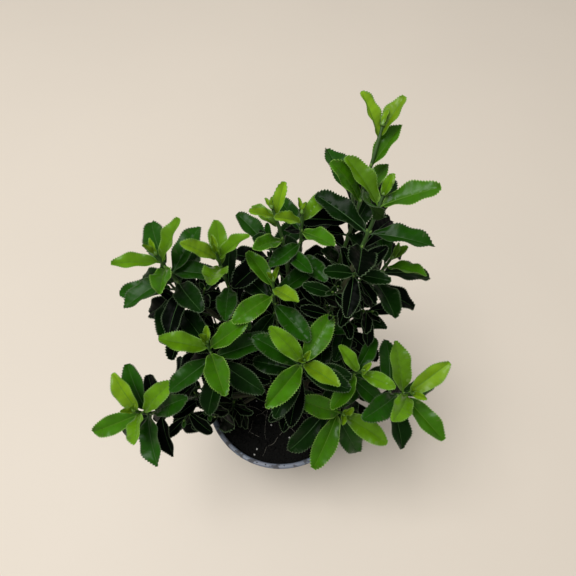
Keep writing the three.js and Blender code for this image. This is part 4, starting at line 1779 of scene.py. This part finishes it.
def bud_tree() -> bpy.types.NodeTree:
    """Geometry Nodes that set a small pointed bud on each point, along its own direction.

    Returns:
        The tree.
    """
    sketch = NodeSketch.group("buds_on_points", "Geometry", {
        "Points": "Geometry", "Slimness": "Float", "Material": "Material"}, {"Buds": "Geometry"})
    given = sketch.given
    bud = sketch.add("GeometryNodeMeshCone", {"Vertices": 8, "Side Segments": 4, "Fill Segments": 1,
                                              "Radius Top": 0.05, "Radius Bottom": 0.35, "Depth": 1.0})
    place = sketch.add("GeometryNodeInputPosition").outputs[0]
    belly = sketch.math("SINE", sketch.math("MULTIPLY", sketch.parted(place)[2], math.pi))
    swell = sketch.math("ADD", 1.0, sketch.math("MULTIPLY", belly, given["Slimness"]))
    wide = sketch.vector("MULTIPLY", place, sketch.joined(swell, swell, 1.0))
    shaped = sketch.moved(bud.outputs["Mesh"], to=wide)
    turn = sketch.add("FunctionNodeAlignRotationToVector", {"Vector": sketch.named("axis", "FLOAT_VECTOR")},
                      axis="Z").outputs[0]
    buds = sketch.add("GeometryNodeInstanceOnPoints", {
        "Points": given["Points"], "Instance": shaped, "Rotation": turn, "Scale": sketch.named("size")})
    return sketch.with_material(buds.outputs[0], "Buds")


@dataclass
class Buds:
    """Buds at the leaves' axils and at the shoots' tips."""

    growth: Growth
    shop: Workshop
    finish: Finish = Finish("bud_scales", (0.16, 0.3, 0.05), (0.1, 0.2, 0.04), 0.0008, 0.6, 0.45, 0.1)
    slimness: float = 0.5
    tip_size: float = 2.6
    leafy_tip_size: float = 1.6
    axil_size: float = 1.5
    first_pair: int = 2
    tip_sink: float = 0.2
    axil_lean: float = 1.3
    axil_out: float = 0.7
    axil_along: float = 0.4

    def build(self) -> None:
        """Builds all buds as one piece."""
        found: list[tuple[np.ndarray, np.ndarray, float]] = []
        for twig in self.growth.twigs + self.growth.sprigs:
            way = twig.route.way(twig.route.length)
            size = self.tip_size if twig.bare else self.leafy_tip_size
            found.append((twig.route.points[-1] - way * self.tip_sink, way, size))
            for leaf in twig.leaves:
                if leaf.pair >= self.first_pair:
                    axis = unit(leaf.way + self.axil_lean * leaf.face)
                    place = leaf.foot + axis * self.axil_out + leaf.way * self.axil_along
                    found.append((place, axis, self.axil_size))
        places, axes, sizes = (np.array(values) for values in zip(*found))
        made = self.shop.marked_points("buds", places, [], axis=axes, size=sizes * MM)
        self.shop.baked(made, bud_tree(), self.finish, {"Slimness": self.slimness})
        self.shop.hand_over(made, Piece("buds", "foliage"))


@dataclass
class Pot:
    """The thin moulded pot with its stepped band, rolled lip and drain holes."""

    shop: Workshop
    finish: Finish = SoiledFinish("pot_plastic", (0.138, 0.168, 0.213), (0.17, 0.163, 0.2), 0.012, 0.5, 0.42,
                                  0.2, 0.0004, 0.00002)
    segments: int = 160
    floor_rings: tuple[float, ...] = (12, 16, 24, 28)
    ease: float = 0.1
    band_round: float = 0.5
    band_flare: float = 0.15
    step_height: float = 0.6
    floor_round: float = 0.8
    floor_ease: float = 0.2
    hole_sides: int = 32
    crease: float = 40

    def profile(self) -> list[tuple[float, float]]:
        """Half the pot's section, from the middle of its underside round to the middle of its floor.

        Returns:
            Radius and height of each corner.
        """
        p = POT
        lip = p.lip_radius - p.lip_round
        inner = (p.lip_width - p.lip_round) / 2
        inner_lip = (p.lip_radius - p.lip_width + inner, p.height - inner)
        return [
            (0, 0),
            *[(r, 0) for r in self.floor_rings],
            *corner((p.foot_radius - p.edge, p.edge), p.edge, -90, -8),
            (p.shoulder_radius - self.ease, p.shoulder - self.step_height),
            *corner((p.band_radius - self.band_round, p.shoulder + p.edge), self.band_round, -60, 0, 3),
            (p.band_radius + self.band_flare, p.height - p.lip_depth - self.step_height),
            *corner((lip, p.height - p.lip_depth + p.lip_round), p.lip_round, -100, 0),
            *corner((lip, p.height - p.lip_round), p.lip_round, 0, 90),
            *corner(inner_lip, inner, 90, 180),
            (p.band_radius - p.wall + self.ease, p.height - p.lip_depth),
            (p.band_radius - p.wall, p.shoulder + p.edge),
            (p.inner_wall(p.shoulder - p.edge), p.shoulder - p.edge),
            (p.inner_wall(p.floor) + self.floor_ease, p.floor + p.edge),
            (p.inner_wall(p.floor) - self.floor_round, p.floor),
            *[(r, p.floor) for r in self.floor_rings[::-1]],
            (0, p.floor),
        ]

    def build(self) -> None:
        """Turns the pot, cuts its drain holes and hands it over."""
        points, faces = turned(self.profile(), self.segments)
        made = self.shop.mesh("pot_shell", points, faces, [self.finish], crease=self.crease)
        cutter = self.hole_cutter()
        cut = made.modifiers.new("drain_holes", "BOOLEAN")
        cut.object = cutter
        cut.solver = "EXACT"
        made_plain(made)
        bpy.data.objects.remove(cutter)
        self.shop.hand_over(made, Piece("pot_shell", "pot", ("pot",)))

    def hole_cutter(self) -> bpy.types.Object:
        """The plugs that cut the ring of drain holes.

        Returns:
            All of them as one object.
        """
        shape = bmesh.new()
        radius = POT.hole_radius * MM
        for i in range(POT.hole_count):
            angle = i * TAU / POT.hole_count
            made = bmesh.ops.create_cone(shape, cap_ends=True, segments=self.hole_sides, radius1=radius,
                                         radius2=radius, depth=3 * POT.floor * MM)
            centre = Vector((math.cos(angle), math.sin(angle), 0)) * POT.hole_circle * MM
            bmesh.ops.translate(shape, verts=made["verts"], vec=centre + Vector((0, 0, POT.floor / 2 * MM)))
        data = bpy.data.meshes.new("plugs")
        shape.to_mesh(data)
        shape.free()
        return in_scene("plugs", data)


# How large, how detailed and how deep a grain's dents are, and the most that it turns, in radians
DENT_SCALE, DENT_DETAIL, DENT_DEPTH, MOST_TURN = 0.9, 2.0, 1.3, 6.28


def scatter_tree() -> bpy.types.NodeTree:
    """Geometry Nodes that scatter uneven grains over a surface.

    Returns:
        The tree.
    """
    sketch = NodeSketch.group("grains_on_surface", "Geometry", {
        "Surface": "Geometry", "Density": "Float", "Smallest": "Float", "Largest": "Float",
        "Flatness": "Float", "Roundness": "Int", "Seed": "Int", "Material": "Material"},
        {"Grains": "Geometry"})
    given = sketch.given
    seed = {"Seed": given["Seed"]}
    spots = sketch.add("GeometryNodeDistributePointsOnFaces", {
        "Mesh": given["Surface"], "Density": given["Density"], **seed})
    stone = sketch.add("GeometryNodeMeshIcoSphere", {"Radius": 1.0, "Subdivisions": given["Roundness"]})
    place = sketch.add("GeometryNodeInputPosition").outputs[0]
    dents = sketch.noise(place, DENT_SCALE, DENT_DETAIL)[1]
    push = sketch.scaled(sketch.vector("SUBTRACT", dents, (0.5, 0.5, 0.5)), DENT_DEPTH)
    uneven = sketch.moved(stone.outputs[0], by=push)
    turn = sketch.add("FunctionNodeRandomValue", {0: (0, 0, 0), 1: (MOST_TURN, MOST_TURN, MOST_TURN), **seed},
                      data_type="FLOAT_VECTOR").outputs[0]
    size = sketch.add("FunctionNodeRandomValue", {2: given["Smallest"], 3: given["Largest"], **seed},
                      data_type="FLOAT").outputs[1]
    scale = sketch.joined(size, size, sketch.math("MULTIPLY", size, given["Flatness"]))
    grains = sketch.add("GeometryNodeInstanceOnPoints", {
        "Points": spots.outputs[0], "Instance": uneven, "Rotation": turn, "Scale": scale})
    return sketch.with_material(grains.outputs[0], "Grains")


@dataclass(frozen=True)
class Grains:
    """A kind of grain: how many lie on a square metre, its least and greatest size and its shape."""

    name: str
    finish: Finish
    density: float
    smallest: float
    largest: float
    flatness: float
    roundness: int
    seed: int


BED_FINISH = Finish("compost_bed", (0.002, 0.0021, 0.0017), (0.0045, 0.004, 0.003), 0.002, 0.6, 0.9, 0.06,
                    0.0004, 0.0002, specular=0.15)
CRUMB_FINISH = Finish("compost_crumbs", (0.0024, 0.0024, 0.002), (0.006, 0.005, 0.004), 0.0015, 0.7, 0.9,
                      0.06, 0.0003, 0.0001, specular=0.15)
GRIT_FINISH = Finish("white_grit", (0.55, 0.54, 0.5), (0.35, 0.34, 0.32), 0.001, 0.7, 0.85, 0.1, 0.0002,
                     0.00005)
TOP_GRAINS = (
    Grains("compost_crumbs", CRUMB_FINISH, 700000.0, 0.25, 0.95, 0.7, 1, 3),
    Grains("compost_lumps", CRUMB_FINISH, 60000.0, 0.8, 1.7, 0.6, 3, 4),
    Grains("white_grit", GRIT_FINISH, 7000.0, 0.25, 0.8, 0.8, 2, 5),
)
LIP_GRAINS = (Grains("lip_crumbs", CRUMB_FINISH, 120000.0, 0.12, 0.6, 0.6, 1, 6),)


@dataclass
class Compost:
    """The compost: its uneven bed, its crumbs, white grit and pale root fibres."""

    shop: Workshop
    limbs: Limbs
    segments: int = 150
    rings: int = 44
    crease: float = 70
    top_segments: int = 72
    top_rings: int = 24
    top_margin: float = 0.6
    top_middle: float = 2
    lip_rings: tuple[float, float] = (1.5, 0.4)
    lip_sink: float = 0.1
    coarse: tuple[float, float] = (0.12, 0.45)
    fine: tuple[float, float] = (0.55, 0.35)
    coarse_layer: float = 3
    fine_layer: float = 7
    octaves: tuple[float, float, int] = (1.0, 2.0, 4)
    fibre_count: int = 24
    fibre_reach: float = 28
    fibre_steps: tuple[float, float] = (14, 40)
    fibre_lift: float = 0.35
    fibre_lift_chance: float = 0.3
    fibre_bend: float = 0.22
    fibre_radii: tuple[float, float] = (0.15, 0.07)
    fibre_margin: float = 2
    fibre_shortest: int = 4
    fibre_seed: int = 17
    rim: float = field(init=False)

    def __post_init__(self) -> None:
        """Finds the radius of the compost's edge."""
        self.rim = POT.band_radius - POT.wall - POT.gap

    def level(self, r: float) -> float:
        """Height of the compost before its bumps.

        Args:
            r: The radius.

        Returns:
            The height there.
        """
        marks = [POT.compost_level_radius, POT.compost_slope_radius, self.rim]
        drops = [0, POT.compost_slope_drop, POT.compost_edge_drop]
        return POT.compost_top - float(np.interp(r, marks, drops))

    def surface(self, x: float, y: float) -> float:
        """Height of the uneven compost at a place.

        Args:
            x: How far it is to the right.
            y: How far it is to the back.

        Returns:
            The height.
        """
        coarse = noise.noise(Vector((x * self.coarse[0], y * self.coarse[0], self.coarse_layer)))
        fine = noise.fractal(Vector((x * self.fine[0], y * self.fine[0], self.fine_layer)), *self.octaves)
        return self.level(math.hypot(x, y)) + (self.coarse[1] * coarse + self.fine[1] * fine)

    def lifted(self, points: np.ndarray) -> np.ndarray:
        """Points of the top at its uneven height."""
        return np.array([vec(x, y, self.surface(x, y)) for x, y, _ in points])

    def build(self) -> None:
        """Builds the bed and everything on it."""
        bed = self.bed()
        scatter = scatter_tree()
        for surface, kinds in ((self.top_surface(), TOP_GRAINS), (self.lip_surface(), LIP_GRAINS)):
            for kind in kinds:
                made = in_scene(kind.name, surface.data.copy())
                self.shop.baked(made, scatter, kind.finish, {
                    "Density": kind.density, "Smallest": kind.smallest * MM, "Largest": kind.largest * MM,
                    "Flatness": kind.flatness, "Roundness": kind.roundness, "Seed": kind.seed})
                self.shop.hand_over(made, Piece(kind.name, "compost"))
            bpy.data.objects.remove(surface)
        self.fibres()
        self.shop.hand_over(bed, Piece("compost_bed", "compost", ("compost",)))

    def bed(self) -> bpy.types.Object:
        """The compost's body, with an uneven top.

        Returns:
            The object.
        """
        p = POT
        floor = p.floor + p.gap
        wall = [(0, floor), (p.inner_wall(floor) - p.gap, floor),
                (p.inner_wall(p.shoulder - p.edge) - p.gap, p.shoulder - p.edge),
                (self.rim, p.shoulder + p.edge + 2 * p.gap)]
        top = [(r, self.level(r)) for r in np.linspace(self.rim, 0, self.rings)]
        points, faces = turned(wall + top, self.segments)
        on_top = points[:, 2] > p.shoulder + 3 * p.edge
        points[on_top] = self.lifted(points[on_top])
        return self.shop.mesh("compost_bed", points, faces, [BED_FINISH], crease=self.crease)

    def top_surface(self) -> bpy.types.Object:
        """The top alone, for the grains to lie on.

        Returns:
            The object.
        """
        radii = np.linspace(self.rim - self.top_margin, self.top_middle, self.top_rings)
        points = self.lifted(ring_points([(r, 0) for r in radii], self.top_segments))
        faces = between_rings(self.top_rings, self.top_segments)
        faces.append(list(range(len(points) - self.top_segments, len(points))))
        return self.shop.mesh("compost_top", points, faces, [])

    def lip_surface(self) -> bpy.types.Object:
        """A strip along the inner side of the pot's lip, for spilt crumbs to lie on.

        Returns:
            The object.
        """
        edge = POT.lip_radius - POT.lip_width
        rings = [(edge + out, POT.height - self.lip_sink) for out in self.lip_rings]
        points = ring_points(rings, self.top_segments)
        return self.shop.mesh("lip_top", points, between_rings(2, self.top_segments), [])

    def fibres(self) -> None:
        """Pale root fibres that wander over the surface."""
        chance = np.random.default_rng(self.fibre_seed)
        runs = []
        for _ in range(self.fibre_count):
            heading = chance.uniform(0, TAU)
            place = chance.uniform(-self.fibre_reach, self.fibre_reach, 2)
            line = []
            for _ in range(int(chance.uniform(*self.fibre_steps))):
                if np.hypot(*place) > self.rim - self.fibre_margin:
                    break
                lift = self.fibre_lift + self.fibre_lift_chance * chance.uniform()
                line.append(vec(*place, self.surface(*place) + lift))
                heading += chance.normal(0, self.fibre_bend)
                place = place + vec(math.cos(heading), math.sin(heading))
            if len(line) > self.fibre_shortest:
                runs.append((np.array(line), np.linspace(*self.fibre_radii, len(line))))
        self.limbs.piece("root_fibres", LimbKind.FIBRE, runs, [])


@dataclass(frozen=True)
class Studio:
    """The pale floor, the soft light and the camera at the photograph's viewing angle, in metres."""

    camera: tuple[float, float, float] = (0.0043, -0.0771, 0.3483)
    pitch: float = 61
    focal: float = 27.7
    sensor: float = 36
    nearest: float = 0.01
    key: tuple[float, float, float] = (-0.46, -0.06, 1.6)
    key_aim: tuple[float, float, float] = (0, 0, 0.12)
    key_size: float = 0.8
    key_power: float = 20.5
    room_colour: Colour = (1, 0.99, 0.97)
    room_light: float = 0.4
    floor_colour: Colour = (0.74, 0.66, 0.56)
    floor_half: float = 2

    def build(self, shop: Workshop) -> None:
        """Sets up the floor, lights and camera.

        Args:
            shop: The workshop.
        """
        self.floor(shop)
        self.key_light()
        world = bpy.data.worlds.new("soft_room")
        world.use_nodes = True
        background = world.node_tree.nodes["Background"].inputs
        background[0].default_value = (*self.room_colour, 1)
        background[1].default_value = self.room_light
        bpy.context.scene.world = world
        bpy.context.scene.view_settings.view_transform = "Standard"
        data = bpy.data.cameras.new("camera")
        data.sensor_width, data.lens, data.clip_start = self.sensor, self.focal, self.nearest
        made = in_scene("camera", data)
        made.location = self.camera
        made.rotation_euler = (math.radians(90 - self.pitch), 0, 0)
        bpy.context.scene.camera = made

    def floor(self, shop: Workshop) -> None:
        """A wide level floor under the pot.

        Args:
            shop: The workshop.
        """
        finish = Finish("pale_floor", self.floor_colour, times(0.97, self.floor_colour), 0.2, 0.5, 0.6,
                        0.05, 0.002, 0.00001)
        corners = [(-1, -1, 0), (1, -1, 0), (1, 1, 0), (-1, 1, 0)]
        points = np.array(corners, float) * (self.floor_half / MM)
        made = shop.mesh("floor", points, [[0, 1, 2, 3]], [finish])

    def key_light(self) -> None:
        """A soft square light that faces the plant."""
        data = bpy.data.lights.new("key_light", "AREA")
        data.size, data.energy = self.key_size, self.key_power
        made = in_scene("key_light", data)
        made.location = self.key
        made.rotation_euler = (Vector(self.key) - Vector(self.key_aim)).to_track_quat("Z", "Y").to_euler()


def main() -> None:
    """Builds every sub-assembly in order."""
    logging.basicConfig(level=logging.INFO, format="%(name)s: %(message)s")
    shop = Workshop()
    growth = Growth()
    LOG.info("grown: %d leaves", len(growth.placed))
    growth.grow_sprigs()
    LOG.info("with sprigs: %d leaves", len(growth.placed))
    Foliage(growth, shop).build()
    limbs = Limbs(growth, shop)
    limbs.build()
    Buds(growth, shop).build()
    Pot(shop).build()
    Compost(shop, limbs).build()
    Studio().build(shop)


if __name__ == "__main__":
    main()
